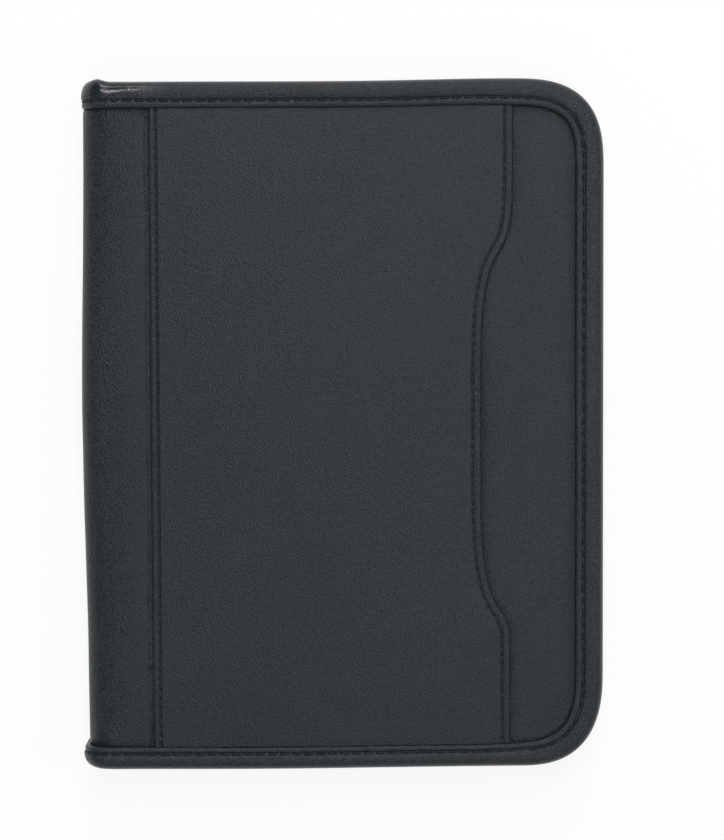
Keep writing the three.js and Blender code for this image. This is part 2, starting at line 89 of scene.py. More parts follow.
# The pad
PAD_X = (-53.0, 74.0)
PAD_END = 101.5


# Working out shapes


def smooth(share):
    """3t^2 - 2t^3 of a share held between 0 and 1."""
    t = np.clip(share, 0.0, 1.0)
    return t * t * (3.0 - 2.0 * t)


def ramp(value, start, end):
    """0 at start and 1 at end, level at both."""
    return smooth((np.asarray(value, float) - start) / (end - start))


def bell(value, centre, width):
    """A smooth hump of height 1: exp(-((value - centre) / width)^2)."""
    return np.exp(-(((np.asarray(value, float) - centre) / width) ** 2))


def ripple(a, b, wavelength, seed):
    """Slow unevenness between about -1 and 1: a sum of five sine waves in set directions."""
    rng = np.random.default_rng(seed)
    total = 0.0
    for _ in range(5):
        angle, phase = rng.uniform(0, 2 * math.pi, 2)
        length = wavelength * rng.uniform(0.7, 1.5)
        along = a * math.cos(angle) + b * math.sin(angle)
        total = total + np.sin(2 * math.pi * along / length + phase)
    return total / 3.2


def pulled(along, pitch):
    """1 at the middle of each stitch and 0 half way between two: a raised cosine."""
    return 0.5 + 0.5 * np.cos(2 * math.pi * along / pitch)


def cubic(a, b, c, d, steps):
    """Points of cubic curves whose control points are arrays (..., 2); the end is left out."""
    t = np.linspace(0.0, 1.0, steps + 1)[:-1]
    weights = np.stack([(1 - t) ** 3, 3 * (1 - t) ** 2 * t, 3 * (1 - t) * t**2, t**3])
    return np.einsum("kt,k...c->...tc", weights, np.stack(np.broadcast_arrays(a, b, c, d)))


def rounded_power(wave, power):
    """A sine or cosine raised to a power with its sign kept, which squares up a round outline."""
    return np.sign(wave) * np.abs(wave) ** power


def around_fold(s, depth, fold, front=True, radius=FOLD_RADIUS):
    """X and Z of a point of the flat layout.

    Past the fold's line the surface turns down a quarter circle about a point one radius below it,
    and then runs straight down the spine. A point at a depth keeps that distance inside.
    """
    line, top = fold
    s = np.asarray(s, float)
    quarter = radius * math.pi / 2
    angle = np.clip(line - s, 0.0, quarter) / radius
    straight = np.clip(line - s - quarter, 0.0, None)
    reach = radius - depth
    x = np.maximum(s, line) - np.sin(angle) * reach
    z = top - radius + np.cos(angle) * reach - straight
    return x, (z if front else DEPTH - z)


def distances(line):
    """How far along a line each of its points is."""
    return np.concatenate([[0.0], np.cumsum(np.linalg.norm(np.diff(line, axis=0), axis=1))])


def values_at(where, along, values):
    """Columns of values that are known at distances along a line, read off at other distances."""
    return np.stack([np.interp(where, along, column) for column in values.T], 1)


def evenly(points, step):
    """A line of points resampled at even distances along it, and those distances."""
    along = distances(points)
    even = np.linspace(0.0, along[-1], int(along[-1] / step) + 1)
    return values_at(even, along, points), even


def unit(vectors):
    """Vectors brought to length 1."""
    return vectors / np.linalg.norm(vectors, axis=-1, keepdims=True)


def sideways(points, closed=False):
    """Unit directions square to a flat line, on its left."""
    if closed:
        ahead = unit(np.roll(points, -1, 0) - np.roll(points, 1, 0))
    else:
        ahead = unit(np.gradient(points, axis=0))
    return np.stack([-ahead[:, 1], ahead[:, 0]], 1)


def bulge(x, y):
    """How far the edge stands out along Y: a low hump at the head beside the fore corner, and a
    lower one along the tail beside the spine."""
    tail = TAIL_BULGE * bell(x, -25.0, 48.0) * ramp(-np.asarray(y), 70.0, 104.0)
    return HEAD_BULGE * bell(x, 56.0, 36.0) * ramp(y, 70.0, 104.0) - tail


def edge_path(inset=0.0, start=-99.5, step=1.0):
    """The outer edge of a cover in the flat layout, from the spine along the tail, round the fore
    edge and back along the head. Each corner is a quarter of a superellipse, x^n + y^n = 1.
    Returns the points at an inset, the directions in from the edge, and the distances along it."""
    turn = np.linspace(0.0, math.pi / 2, 60)

    def corner(reach_x, reach_y, power):
        x = FORE - reach_x + reach_x * np.cos(turn) ** (2 / power)
        return np.stack([x, END - reach_y + reach_y * np.sin(turn) ** (2 / power)], 1)

    tail = corner(*TAIL_CORNER)[::-1] * (1.0, -1.0)
    corners = [[(start, -END)], tail, corner(*HEAD_CORNER), [(start, END)]]
    rough = evenly(np.concatenate(corners), 0.5)[0]
    rough[:, 1] += bulge(rough[:, 0], rough[:, 1])
    points, along = evenly(rough, step)
    inward = sideways(points)
    return points + inward * inset, inward, along


# Making meshes


def grid_faces(rows, columns, wrap=False):
    """Quads of a grid stored row by row; wrap joins each row's last point to its first."""
    across = columns if wrap else columns - 1
    r, c = np.meshgrid(np.arange(rows - 1), np.arange(across), indexing="ij")
    a = (r * columns + c).ravel()
    b = (r * columns + (c + 1) % columns).ravel()
    return np.stack([a, b, b + columns, a + columns], 1)


def tube(sections, ends=True):
    """A closed section carried along: sections is (stations, points round the section, 3). Without
    ends it has to come back to its first station."""
    rows, columns, _ = sections.shape
    faces = grid_faces(rows, columns, wrap=True).tolist()
    if ends:
        faces.append(list(range(columns)))
        faces.append(list(range((rows - 1) * columns, rows * columns)))
    return sections.reshape(-1, 3), faces


def hoop(sections):
    """A closed section carried round a loop."""
    return tube(np.concatenate([sections, sections[:1]]), ends=False)


def strand(rings):
    """A short six-sided strand: rings of six points, with two quads over each end."""
    last = (len(rings) - 1) * 6
    ends = np.array([[0, 1, 2, 3], [3, 4, 5, 0]])
    faces = [grid_faces(len(rings), 6, wrap=True), ends, ends[:, ::-1] + last]
    return rings.reshape(-1, 3), np.concatenate(faces)


def shell(top, under):
    """A closed sheet between two grids of the same shape, with walls round the rim."""
    rows, columns, _ = top.shape
    count = rows * columns
    index = np.arange(count).reshape(rows, columns)
    rim = np.concatenate([index[0, :-1], index[:-1, -1], index[-1, :0:-1], index[:0:-1, 0]])
    after = np.roll(rim, -1)
    upper = grid_faces(rows, columns)
    walls = np.stack([after, rim, rim + count, after + count], 1)
    faces = np.concatenate([upper, upper[:, ::-1] + count, walls])
    return np.concatenate([top.reshape(-1, 3), under.reshape(-1, 3)]), faces.tolist()


def flat_sheet(x, y, top, under):
    """A closed sheet between two heights over a grid."""
    return shell(*(np.stack(np.broadcast_arrays(x, y, z), -1) for z in (top, under)))


def folded_sheet(s, y, outer, inner, fold, front, radius=FOLD_RADIUS):
    """A closed sheet between two depths of the flat layout, wrapped round a fold."""
    faces = []
    for depth in (outer, inner):
        x, z = around_fold(s, depth, fold, front, radius)
        faces.append(np.stack([x, y, z], -1))
    return shell(*faces)


def merged(parts):
    """Several (points, faces) as one."""
    points, faces, offset = [], [], 0
    for some_points, some_faces in parts:
        points.append(np.asarray(some_points, float))
        faces.extend([[i + offset for i in face] for face in some_faces])
        offset += len(some_points)
    return np.concatenate(points), faces


def copies(shape, origins, axes):
    """A small shape put down many times: each point is origin + x * along + y * across + z * up."""
    points, faces = shape
    placed = origins[:, None, :] + np.einsum("pk,nkc->npc", points, axes)
    offsets = (np.arange(len(origins)) * len(points))[:, None, None]
    return placed.reshape(-1, 3), (faces[None] + offsets).reshape(-1, faces.shape[1]).tolist()


def add_piece(name, shape, material, rides, replaces=(), flat_above=None):
    """Puts a shape in the scene as one object, parented to the body it moves with when one is
    named, and hides the parts it stands for.

    rides is a body's name, which the piece is parented to, or (body, body, start, end) for a piece
    that bends between two. The tuple's bodies and points are not used, and such a piece is parented
    to nothing. Edges sharper than flat_above, in degrees, stay crisp.
    """
    points, faces = shape
    mesh = bpy.data.meshes.new(name)
    mesh.from_pydata((np.asarray(points) * MM).tolist(), [], faces)
    tidy = bmesh.new()
    tidy.from_mesh(mesh)
    bmesh.ops.remove_doubles(tidy, verts=tidy.verts, dist=1e-7)
    bmesh.ops.recalc_face_normals(tidy, faces=tidy.faces)
    tidy.to_mesh(mesh)
    tidy.free()
    mesh.shade_smooth()
    mesh.materials.append(material)
    piece = bpy.data.objects.new(name, mesh)
    bpy.context.scene.collection.objects.link(piece)
    if flat_above is not None:
        mesh.set_sharp_from_angle(angle=math.radians(flat_above))
    if isinstance(rides, str):
        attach(piece, rides)
    else:
        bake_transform(piece)
    if replaces:
        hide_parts(*replaces)
    return piece


def fold_between(cover):
    """How leather round a fold of the spine bends: from the spine's flat to the cover's."""
    (x0, z0), (x1, z1) = FOLDS[cover]
    return ("spine", cover, (x0, 0.0, z0), (x1, 0.0, z1))


# Materials


def linear(code):
    """An sRGB hex colour as linear RGBA."""
    values = [int(code[i : i + 2], 16) / 255 for i in (1, 3, 5)]
    return (*[v / 12.92 if v <= 0.04045 else ((v + 0.055) / 1.055) ** 2.4 for v in values], 1.0)


def add(tree, kind, inputs=None, **settings):
    """A node with its settings. An input's value is a constant, another node's output, or a node,
    which stands for its first output."""
    made = tree.nodes.new("ShaderNode" + kind)
    for name, value in settings.items():
        setattr(made, name, value)
    for name, value in (inputs or {}).items():
        if isinstance(value, bpy.types.Node):
            value = value.outputs[0]
        if isinstance(value, bpy.types.NodeSocket):
            tree.links.new(value, made.inputs[name])
        else:
            made.inputs[name].default_value = value
    return made


def new_material(name):
    """A material with an empty tree, and the Object coordinates that its patterns read."""
    material = bpy.data.materials.new(name)
    material.use_nodes = True
    tree = material.node_tree
    tree.nodes.clear()
    return material, tree, add(tree, "TexCoord").outputs["Object"]


def shaded(tree, inputs):
    """Ends a material's tree with its shader, whose inputs are given, and the output."""
    add(tree, "OutputMaterial", {"Surface": add(tree, "BsdfPrincipled", inputs)})


def two_colours(tree, share, low, high, narrow=(0.0, 1.0)):
    """A colour between two, led by a pattern's output."""
    share = add(tree, "MapRange", {"Value": share, "From Min": narrow[0], "From Max": narrow[1]})
    ends = {"Factor": share, 6: linear(low), 7: linear(high)}
    return add(tree, "Mix", ends, data_type="RGBA").outputs[2]


def uneven(tree, pattern, middle, spread):
    """A roughness that a pattern leads a little up and down."""
    around = {"To Min": max(0.0, middle - spread), "To Max": middle + spread}
    return add(tree, "MapRange", {"Value": pattern, "From Min": 0.3, "From Max": 0.7, **around})


POLISH = 0.16  # how much smoother the worn patch is
WORN_REACH = (16.0, 4.5)  # how far it reaches along X and Y


def pebbled_leather(name, shaded_valley, face, roughness, grain=0.62, relief=0.075, worn=None):
    """Bonded leather, embossed with a fine pebble and finished half matt: the face is even and
    dark, and it glints in specks where a lamp catches the pebbles. grain is a pebble's width and
    relief its height. worn is the place, in mm, round which handling has polished the pebbles
    flat; the patch is an ellipse with a soft edge."""
    material, tree, place = new_material(name)
    wander = add(tree, "TexNoise", {"Vector": place, "Scale": 900.0, "Detail": 2.0})
    shift = {0: wander.outputs["Color"], 1: (0.0005, 0.0005, 0.0005), 2: place}
    bent = add(tree, "VectorMath", shift, operation="MULTIPLY_ADD")
    cells = {"Vector": bent, "Scale": 1000.0 / grain, "Smoothness": 0.35}
    pebbles = add(tree, "TexVoronoi", cells, feature="SMOOTH_F1")
    creases = add(tree, "TexNoise", {"Vector": place, "Scale": 2600.0, "Detail": 3.0})
    clouds = add(tree, "TexNoise", {"Vector": place, "Scale": 22.0, "Detail": 3.0})
    creased = add(tree, "Math", {0: creases, 1: 0.9}, operation="MULTIPLY")
    height = add(tree, "Math", {0: creased, 1: pebbles}, operation="SUBTRACT")
    # Painted shade: the pebbles' hollows are coloured darker than their tops. The slow clouds are
    # the leather's own uneven tone.
    cloudy = add(tree, "Math", {0: clouds, 1: 0.35}, operation="MULTIPLY")
    hollow_shade = add(tree, "Math", {0: pebbles, 1: 0.9}, operation="MULTIPLY")
    shade = add(tree, "Math", {0: cloudy, 1: hollow_shade}, operation="SUBTRACT")
    rough, strength = uneven(tree, clouds, roughness, 0.03), 1.0
    if worn:
        centre = [-at / reach for at, reach in zip(worn, WORN_REACH)]
        size = [1000.0 / reach for reach in WORN_REACH]
        patch = {"Vector": place, "Location": (*centre, 0.0), "Scale": (*size, 0.0)}
        away = add(tree, "VectorMath", {0: add(tree, "Mapping", patch)}, operation="LENGTH")
        fade = {"From Min": 1.2, "From Max": 0.5, "To Max": POLISH}
        polish = add(tree, "MapRange", {"Value": away.outputs["Value"], **fade})
        rough = add(tree, "Math", {0: rough, 1: polish}, operation="SUBTRACT")
        flatter = {0: polish, 1: -5.4, 2: 1.0}
        strength = add(tree, "Math", flatter, operation="MULTIPLY_ADD")
    raised = {"Height": height, "Strength": strength, "Distance": relief * MM}
    surface = {
        "Base Color": two_colours(tree, shade, shaded_valley, face, (-0.55, 0.1)),
        "Roughness": rough,
        "Specular IOR Level": 0.42,
        "Normal": add(tree, "Bump", raised),
    }
    shaded(tree, surface)
    return material


def woven_cloth(name, shadow, thread, pitch, slant=0.0, relief=0.08):
    """Cloth woven from fine yarn: rows of floats one way and the other, drawn at a pitch coarse
    enough to show, with a soft dull face. One wave of the pattern is two yarns wide."""
    material, tree, place = new_material(name)
    turned = add(tree, "Mapping", {"Vector": place, "Rotation": (0.0, 0.0, slant)})
    waves = {"Vector": turned, "Scale": 1000.0 / (6.4 * pitch), "Distortion": 0.3}
    rows = [add(tree, "TexWave", waves, bands_direction=way).outputs["Fac"] for way in "XY"]
    woven = add(tree, "Math", dict(enumerate(rows)), operation="MULTIPLY")
    fuzz = add(tree, "TexNoise", {"Vector": place, "Scale": 1800.0, "Detail": 3.0})
    height = add(tree, "Math", {0: fuzz, 1: 0.4, 2: woven}, operation="MULTIPLY_ADD")
    surface = {
        "Base Color": two_colours(tree, height, shadow, thread),
        "Roughness": 0.85,
        "Specular IOR Level": 0.2,
        "Sheen Weight": 0.15,
        "Sheen Roughness": 0.5,
        "Normal": add(tree, "Bump", {"Height": height, "Distance": relief * MM}),
    }
    shaded(tree, surface)
    return material


def spun_thread(name, dark, light):
    """Bonded polyester thread: a dark twisted strand with a faint gloss."""
    material, tree, place = new_material(name)
    twist = {"Vector": place, "Scale": 5000.0, "Detail": 2.0, "Distortion": 0.6}
    strands = add(tree, "TexNoise", twist)
    surface = {
        "Base Color": two_colours(tree, strands, dark, light, (0.3, 0.7)),
        "Roughness": 0.55,
        "Normal": add(tree, "Bump", {"Height": strands, "Distance": 0.03 * MM}),
    }
    shaded(tree, surface)
    return material


def plain_finish(name, dark, light, roughness, scale, relief, metallic=0.0):
    """A finish whose mottling, at one real size, leads its colour, roughness and slight relief."""
    material, tree, place = new_material(name)
    mottle = add(tree, "TexNoise", {"Vector": place, "Scale": 1000.0 / scale, "Detail": 4.0})
    surface = {
        "Base Color": two_colours(tree, mottle, dark, light, (0.3, 0.7)),
        "Metallic": metallic,
        "Roughness": uneven(tree, mottle, roughness, 0.06),
        "Normal": add(tree, "Bump", {"Height": mottle, "Distance": relief * MM}),
    }
    shaded(tree, surface)
    return material


RULING = 7.1  # from one line of the pad to the next


def ruled_paper():
    """Pad paper: warm white and matt, ruled with pale lines on its face; at the sides the sheets'
    edges show as fine layers, drawn 0.3 mm apart so that they show."""
    material, tree, place = new_material("uncoated_pad_paper")
    apart = add(tree, "SeparateXYZ", {"Vector": place})
    rows = add(tree, "Math", {0: apart.outputs["Y"], 1: RULING * MM}, operation="DIVIDE")
    row = add(tree, "Math", {0: rows}, operation="FRACT")
    line = add(tree, "Math", {0: row, 1: 0.05}, operation="LESS_THAN")
    normal = add(tree, "SeparateXYZ", {"Vector": add(tree, "NewGeometry").outputs["Normal"]})
    face = add(tree, "Math", {0: normal.outputs["Z"], 1: 0.9}, operation="GREATER_THAN")
    ruled = add(tree, "Math", {0: line, 1: face}, operation="MULTIPLY")
    layers = add(tree, "Math", {0: apart.outputs["Z"], 1: 0.3 * MM}, operation="DIVIDE")
    layer = add(tree, "Math", {0: layers}, operation="FRACT")
    side = add(tree, "Math", {0: 1.0, 1: face}, operation="SUBTRACT")
    edge = add(tree, "Math", {0: side, 1: layer}, operation="MULTIPLY")
    edge_shade = add(tree, "Math", {0: edge, 1: 0.35}, operation="MULTIPLY")
    shade = add(tree, "Math", {0: ruled, 1: 0.8, 2: edge_shade}, operation="MULTIPLY_ADD")
    fibre = add(tree, "TexNoise", {"Vector": place, "Scale": 3000.0, "Detail": 3.0})
    height = add(tree, "Math", {0: fibre, 1: 0.3, 2: edge}, operation="MULTIPLY_ADD")
    surface = {
        "Base Color": two_colours(tree, shade, "#efece2", "#9fb1c0"),
        "Roughness": 0.88,
        "Specular IOR Level": 0.25,
        "Normal": add(tree, "Bump", {"Height": height, "Distance": 0.05 * MM}),
    }
    shaded(tree, surface)
    return material


def clear_film():
    """Clear flexible vinyl: glossy, colourless, with slow waves in its surface."""
    material, tree, place = new_material("clear_vinyl_film")
    waves = add(tree, "TexNoise", {"Vector": place, "Scale": 60.0, "Detail": 1.0})
    surface = {
        "Base Color": linear("#f2f5f5"),
        "Roughness": 0.08,
        "Transmission Weight": 1.0,
        "Normal": add(tree, "Bump", {"Height": waves, "Distance": 0.25 * MM}),
    }
    shaded(tree, surface)
    return material


# The outside: embossed and half matt, so that it stays dark and shows its pebbles.
cover_leather = pebbled_leather(
    "pebbled_bonded_leather", "#0e161a", "#29343a", roughness=0.34, relief=0.19, worn=(-77.0, 116.0)
)
# The inside pieces: the same leather, rolled smooth and duller.
inner_leather = pebbled_leather(
    "smooth_bonded_leather", "#25292c", "#32363a", roughness=0.5, grain=0.5, relief=0.03
)
seam_thread = spun_thread("bonded_polyester_thread", "#07080a", "#121518")
lining_cloth = woven_cloth("woven_nylon_lining", "#2b2e31", "#45494d", pitch=0.5)
zip_tape = woven_cloth("woven_polyester_zip_tape", "#151719", "#2a2d30", pitch=0.6, slant=0.785)
# Nylon monofilament: smooth, black, with a soft plastic gloss.
zip_coil = plain_finish("nylon_coil", "#1c1e20", "#26292b", 0.4, scale=0.5, relief=0.01)
# Zinc casting with a gunmetal plating: dark, worn a little lighter in patches.
gunmetal = plain_finish(
    "gunmetal_plated_zinc", "#4d5054", "#66696d", 0.32, scale=1.2, relief=0.01, metallic=1.0
)
# Open-cell polyurethane: pale, dull and full of small pores.
padding_foam = plain_finish("polyurethane_foam", "#a7a49b", "#c3c0b7", 0.9, scale=0.8, relief=0.25)
# Pressed waste paper, dyed black right through: dull and flecked.
black_board = plain_finish("pressed_black_board", "#1f1f1f", "#2e2d2c", 0.9, scale=0.9, relief=0.05)
# The same undyed, at the back of the pad: grey-brown.
chipboard = plain_finish("pad_chipboard", "#94866a", "#ab9c7d", 0.88, scale=0.7, relief=0.04)
header_cloth = woven_cloth("book_cloth_tape", "#1d1f22", "#303336", pitch=0.45)
pad_paper = ruled_paper()
clear_vinyl = clear_film()


# The edge bands and the caps that they become round the spine

BAND_PITCH = 4.15  # from one stitch to the next
GROOVE, GROOVE_PULL = 0.2, 0.26  # how deep the stitched groove is, and how much more at a stitch
LEATHER, LIP = 1.2, 1.1  # the thickness of the band, and of its turned-in lip
CAP_SWELL = {"head": -0.7, "tail": 0.5}  # how far each cap stands out from the spine's face
BACK_SEAM, BACK_INNER = 6.8, 9.4  # from the outer edge to the back band's seam and inner edge


def band_sizes(points, front):
    """The band's own sizes at each place: those of the cover's band, turning into the cap's round
    the spine. On the front the seam and the flange's edge stand a little nearer to the outer edge
    at the head and the tail than at the fore edge, as they were sewn."""
    s, y = points[:, 0], points[:, 1]
    cap = 1.0 - ramp(s, -86.0, -70.0)
    turned = 1.0 - ramp(s, -91.0, -82.5)
    proud = np.where(y > 0, CAP_PROUD["head"], CAP_PROUD["tail"]) * (1.0 - ramp(s, -84.0, -78.5))
    fore = ramp(s, 45.0, 84.0)
    head = ramp(y, -90.0, 90.0)
    seam = (1 - fore) * (5.85 + 0.85 * head) + fore * 7.15 + 0.10 * ripple(s, y, 45.0, 3)
    inner = (1 - fore) * (8.1 + 1.1 * head) + fore * 9.9 + 0.06 * ripple(s, y, 60.0, 4)
    if not front:
        seam = turned * seam + (1 - turned) * BACK_SEAM
        inner = turned * inner + (1 - turned) * BACK_INNER
    swell = np.where(y > 0, CAP_SWELL["head"], CAP_SWELL["tail"])
    return {
        "proud": proud,
        "drop": 0.7 - 0.2 * cap - 0.2 * fore + 0.05 * ripple(s, y, 40.0, 5),
        "swell": swell * (1.0 - ramp(s, -90.0, -80.0)),
        "shoulder": 5.2 - 0.8 * cap + 1.5 * turned,
        "depth": 8.7 - 2.3 * cap,
        "lip": 4.8 - 1.4 * cap,
        "crown": np.minimum(3.4 + 1.6 * cap, seam - 2.2) + 1.5 * turned,
        "seam": seam + proud,
        "inner": inner + proud,
    }


def band_section(sizes, along):
    """The band's closed section at each place, as (stations, points, 2) of depth and inset.

    From the flange's inner edge it goes over the flange, down into the stitched groove, up over
    the roll's crown, down its side, round the turned-in lip and back along the inside. The groove
    is pulled deeper at the middle of each stitch. Each stretch is a cubic curve.
    """
    pull = pulled(along, BAND_PITCH)
    drop, seam, inner = sizes["drop"], sizes["seam"], sizes["inner"]
    crown, shoulder, depth, lip = (sizes[k] for k in ("crown", "shoulder", "depth", "lip"))
    under = drop + 2.0
    groove = drop + GROOVE + GROOVE_PULL * pull
    top = 0.05 * (1 - pull)
    turn_in = depth - LIP

    # The steps of each stretch, its two control points and where it ends
    flange = [
        (2, (under, inner), (drop + 0.9, inner), (drop + 0.9, inner)),
        (5, (drop + 0.35, inner), (drop + 0.05, inner - 0.35), (drop - 0.02, inner - 0.95)),
        (4, (drop - 0.08, inner - 1.3), (drop - 0.06, seam + 0.95), (drop + 0.04, seam + 0.62)),
    ]
    stitched = [
        (4, (drop + 0.16, seam + 0.4), (groove, seam + 0.36), (groove, seam + 0.12)),
        (2, (groove, seam), (groove, seam - 0.1), (groove - 0.05, seam - 0.28)),
    ]
    roll = [
        (9, (drop - 0.35, seam - 0.5), (top, seam - 1.25), (top, crown)),
        (9, (0, crown * 0.38), (0.34 * shoulder, 0), (shoulder, 0)),
        (7, (depth - 1.5, 0), (depth, 1.2), (depth, lip - 1.6)),
    ]
    inside = [
        (4, (depth, lip - 0.4), (depth - 0.1, lip), (depth - 0.5 * LIP, lip)),
        (3, (turn_in, lip), (turn_in, lip - 0.6), (turn_in, lip - 1.6)),
        (4, (turn_in, LEATHER + 0.8), (depth - 1.9, LEATHER), (shoulder, LEATHER)),
        (4, (0.65 * shoulder, LEATHER), (under, 2.0), (under, 3.0)),
    ]
    section, last = [], (under, inner)
    for steps, *rest in flange + stitched + roll + inside:
        four = [np.stack(np.broadcast_arrays(d, u, drop)[:2], -1) for d, u in (last, *rest)]
        section.append(cubic(*four, steps))
        last = rest[-1]
    return np.concatenate(section, axis=1)


def stitches(middles, along, up, length, width, rise=0.28):
    """Sewn stitches: each is a six-sided strand, thickest in the middle, whose ends dive into the
    leather; five rings of six points."""
    along, up = unit(along), unit(up)
    across = np.cross(up, along)
    share = np.array([-1.0, -0.7, 0.0, 0.7, 1.0])
    girth = np.array([0.35, 0.85, 1.0, 0.85, 0.35]) * width / 2
    height = np.array([-0.75, -0.1, 0.1, -0.1, -0.75]) * rise
    angle = np.arange(6) * math.pi / 3
    ring = np.stack([np.zeros(6), np.cos(angle), 0.75 * np.sin(angle)], 1)
    rings = ring[None] * girth[:, None, None]
    rings[..., 0] += (share * length / 2)[:, None]
    rings[..., 2] += height[:, None]
    return copies(strand(rings), middles, np.stack([along, across, up], 1))


def edge_band(name, cover, replaces):
    """One cover's edge band with half of each spine cap: the section carried along the outer edge
    in the flat layout, then wrapped round the fold. A stitch lies in each pull of the groove."""
    front = cover == "front_cover"
    points, inward, along = edge_path()
    sizes = band_sizes(points, front)
    section = band_section(sizes, along)
    depth, inset = section[..., 0], section[..., 1] - sizes["proud"][:, None]
    s, y = np.moveaxis(points[:, None] + inward[:, None] * inset[..., None], -1, 0)
    roll = bell(inset, 3.5, 3.0) * (depth < 7.0)
    depth = depth + 0.10 * roll * (1 + ripple(s, y, 18.0, 6 + front)) - sizes["swell"][:, None]
    x, z = around_fold(s, depth, CROWN_FOLD, front)
    band = tube(np.stack([x, y, z], -1))
    add_piece(name, band, cover_leather, fold_between(cover), replaces)

    line = points + inward * (sizes["seam"] - sizes["proud"])[:, None]
    line_along = distances(line)
    middles = np.interp(np.arange(2.0, line_along[-1] - 2.0, BAND_PITCH), line_along, along)
    middles = np.unique(np.round(middles / BAND_PITCH)) * BAND_PITCH
    bed = np.interp(middles, along, sizes["drop"] - sizes["swell"]) + GROOVE

    def on_seam(shift, above=0.0):
        at = values_at(middles + shift, along, line)
        x, z = around_fold(at[:, 0], bed - above, CROWN_FOLD, front)
        return np.stack([x, at[:, 1], z], -1)

    before, after = on_seam(-0.1), on_seam(0.1)
    up = on_seam(0.0, above=1.0) - on_seam(0.0)
    seam = stitches((before + after) / 2, after - before, up, length=3.3, width=0.75)
    add_piece(name + "_stitches", seam, seam_thread, fold_between(cover))


edge_band("front_edge_roll", "front_cover", ["front_edge_band", "head_spine_cap"])
edge_band("back_edge_roll", "back_cover", ["back_edge_band", "tail_spine_cap"])


# The cover leather, one piece from the middle of the spine to the fore edge on each side

SKIN_THICKNESS = 1.3


def half_reach(s, inset, tail):
    """How far a layer at an inset reaches towards the head or the tail: the outline's own line."""
    outline = edge_path(inset)[0]
    side = outline[outline[:, 1] < 0] if tail else outline[outline[:, 1] > 0][::-1]
    return np.interp(s, side[:, 0], np.abs(side[:, 1]))


def layer_grid(start, inset, step, more_s=(), more_y=()):
    """A grid over a cover's layer as s and y: even steps along s that close up round the corner,
    and each row of y stretched to the outline there. More rows and columns can be asked for."""
    turn_from = FORE - inset - HEAD_CORNER[0]
    flat = np.arange(start, turn_from, step)
    turn = np.sin(np.linspace(0.0, math.pi / 2 - 0.05, int(40 / step)))
    s = np.unique(np.concatenate([flat, turn_from + HEAD_CORNER[0] * turn, more_s]))
    half = END - inset
    share = np.linspace(-1.0, 1.0, int(2 * half / step))
    share = np.unique(np.concatenate([share, np.divide(more_y, half), np.divide(more_y, -half)]))
    s, share = np.meshgrid(s, share, indexing="ij")
    y = share * np.where(share > 0, half_reach(s, inset, False), half_reach(s, inset, True))
    return s, y


def pressed(s, y):
    """How far the front leather and its foam are drawn down: by the pocket's seam next to the
    spine, and slackly where the leather starts to turn round the spine."""
    before = np.clip(-70.0 - s, 0.0, 11.3)
    past = np.clip(-81.3 - s, 0.0, 2.0)
    slack = 0.176 * (before**2 / 22.6 + past - past**2 / 4.0) * ramp(s, -93.0, -84.0)
    return 0.5 * bell(s, -66.4, 1.1) + slack * (1.0 - 0.75 * ramp(np.abs(y), 99.0, 109.0))


def gutter(s, y):
    """How far the bare leather sinks beside the pocket's free edge: deep at the edge and gone a few
    millimetres out, wider at the waist."""
    points = wave_edge()[0]
    edge = np.interp(y, points[:, 1], points[:, 0])
    waist = bell(y, -3.0, 32.0)
    width = 1.3 + 1.9 * waist
    return (0.5 + 0.7 * waist) * np.exp(-np.clip(s - edge, 0.0, None) / width) * (s > edge - 6.0)


def skin(name, cover, replaces):
    """Cover leather: a grid of s by y wrapped round the fold.

    It bows out along the middle of the spine. On the front it is drawn down beside the pocket's
    seam and lifted a little by the foam where it is bare, and it runs on under the band's flange,
    dropping to get there round the spine. On the back it fills the space that the flange frames,
    and drops under the flange round the spine.
    """
    front = cover == "front_cover"
    if front:
        more_s = np.concatenate([np.arange(-69.6, -64.0, 0.4), np.arange(46.0, 62.0, 0.7)])
        more_y = (107.2, 107.8, 108.3, 108.7, 109.1, 109.5, 109.9, 110.4, 111.0)
        s, y = layer_grid(-95.8, 3.0, 1.4, more_s, more_y)
    else:
        s, y = layer_grid(-98.8, 9.7, 1.4)
        reach = np.where(y > 0, 1.8, 3.1) * np.sign(y)
        y = y + reach * ramp(np.abs(y), 107.0, 108.6) * (1.0 - ramp(s, -80.0, -77.8))
    spine = 1.0 - ramp(s, -91.0, -79.0)
    lift = spine * (1.5 * bell(y, 5.0, 62.0) - 0.65) + 0.05 * ripple(s, y, 34.0, 8 + front)
    edge = np.minimum(END - np.abs(y), FORE - s)
    if front:
        bare = ramp(s, 57.0, 66.0) * (1 - ramp(s, 74.0, 81.0)) * (1 - ramp(np.abs(y), 85.0, 107.0))
        drop = 0.4 * ramp(np.abs(y), 108.0, 110.0) * (1.0 - ramp(s, -88.0, -79.5))
        rim = 0.10 * (1 - ramp(edge, 8.3, 12.0)) * ramp(s, -79.0, -70.0)
        lift = lift + 0.4 * bare - pressed(s, y) - drop - rim - gutter(s, y)
    else:
        rim = 0.25 * (1 - ramp(edge, 9.7, 10.9)) * ramp(s, -84.0, -80.0)
        drop, start = np.where(y > 0, 2.6, 1.3), np.where(y > 0, 108.4, 109.7)
        lift = lift * ramp(-s, 70.0, 80.0) - rim - drop * ramp(np.abs(y) - start, 0.0, 1.2)
    fold = SKIN_FOLD if front else BACK_SKIN_FOLD
    inner = SKIN_THICKNESS - np.minimum(lift, 0.0)
    sheet = folded_sheet(s, y, -lift, inner, fold, front)
    add_piece(name, sheet, cover_leather, fold_between(cover), replaces)


# The front pocket

POCKET_LEFT = -65.8
POCKET_HEAD, POCKET_TAIL = 109.6, -110.6
WAVE_HEAD, WAVE_TAIL, WAVE_WAIST = 58.7, 57.7, 47.7  # X of the free edge's straight stretches
HEM, WAVE_HEM = 2.5, 3.0  # from each edge to its stitches: beside the spine, and at the wave
HEM_PITCH = 3.2  # from one stitch to the next
POCKET_LOW, POCKET_TOP = 23.1, 24.3  # the heights of the panel's two faces at its edges
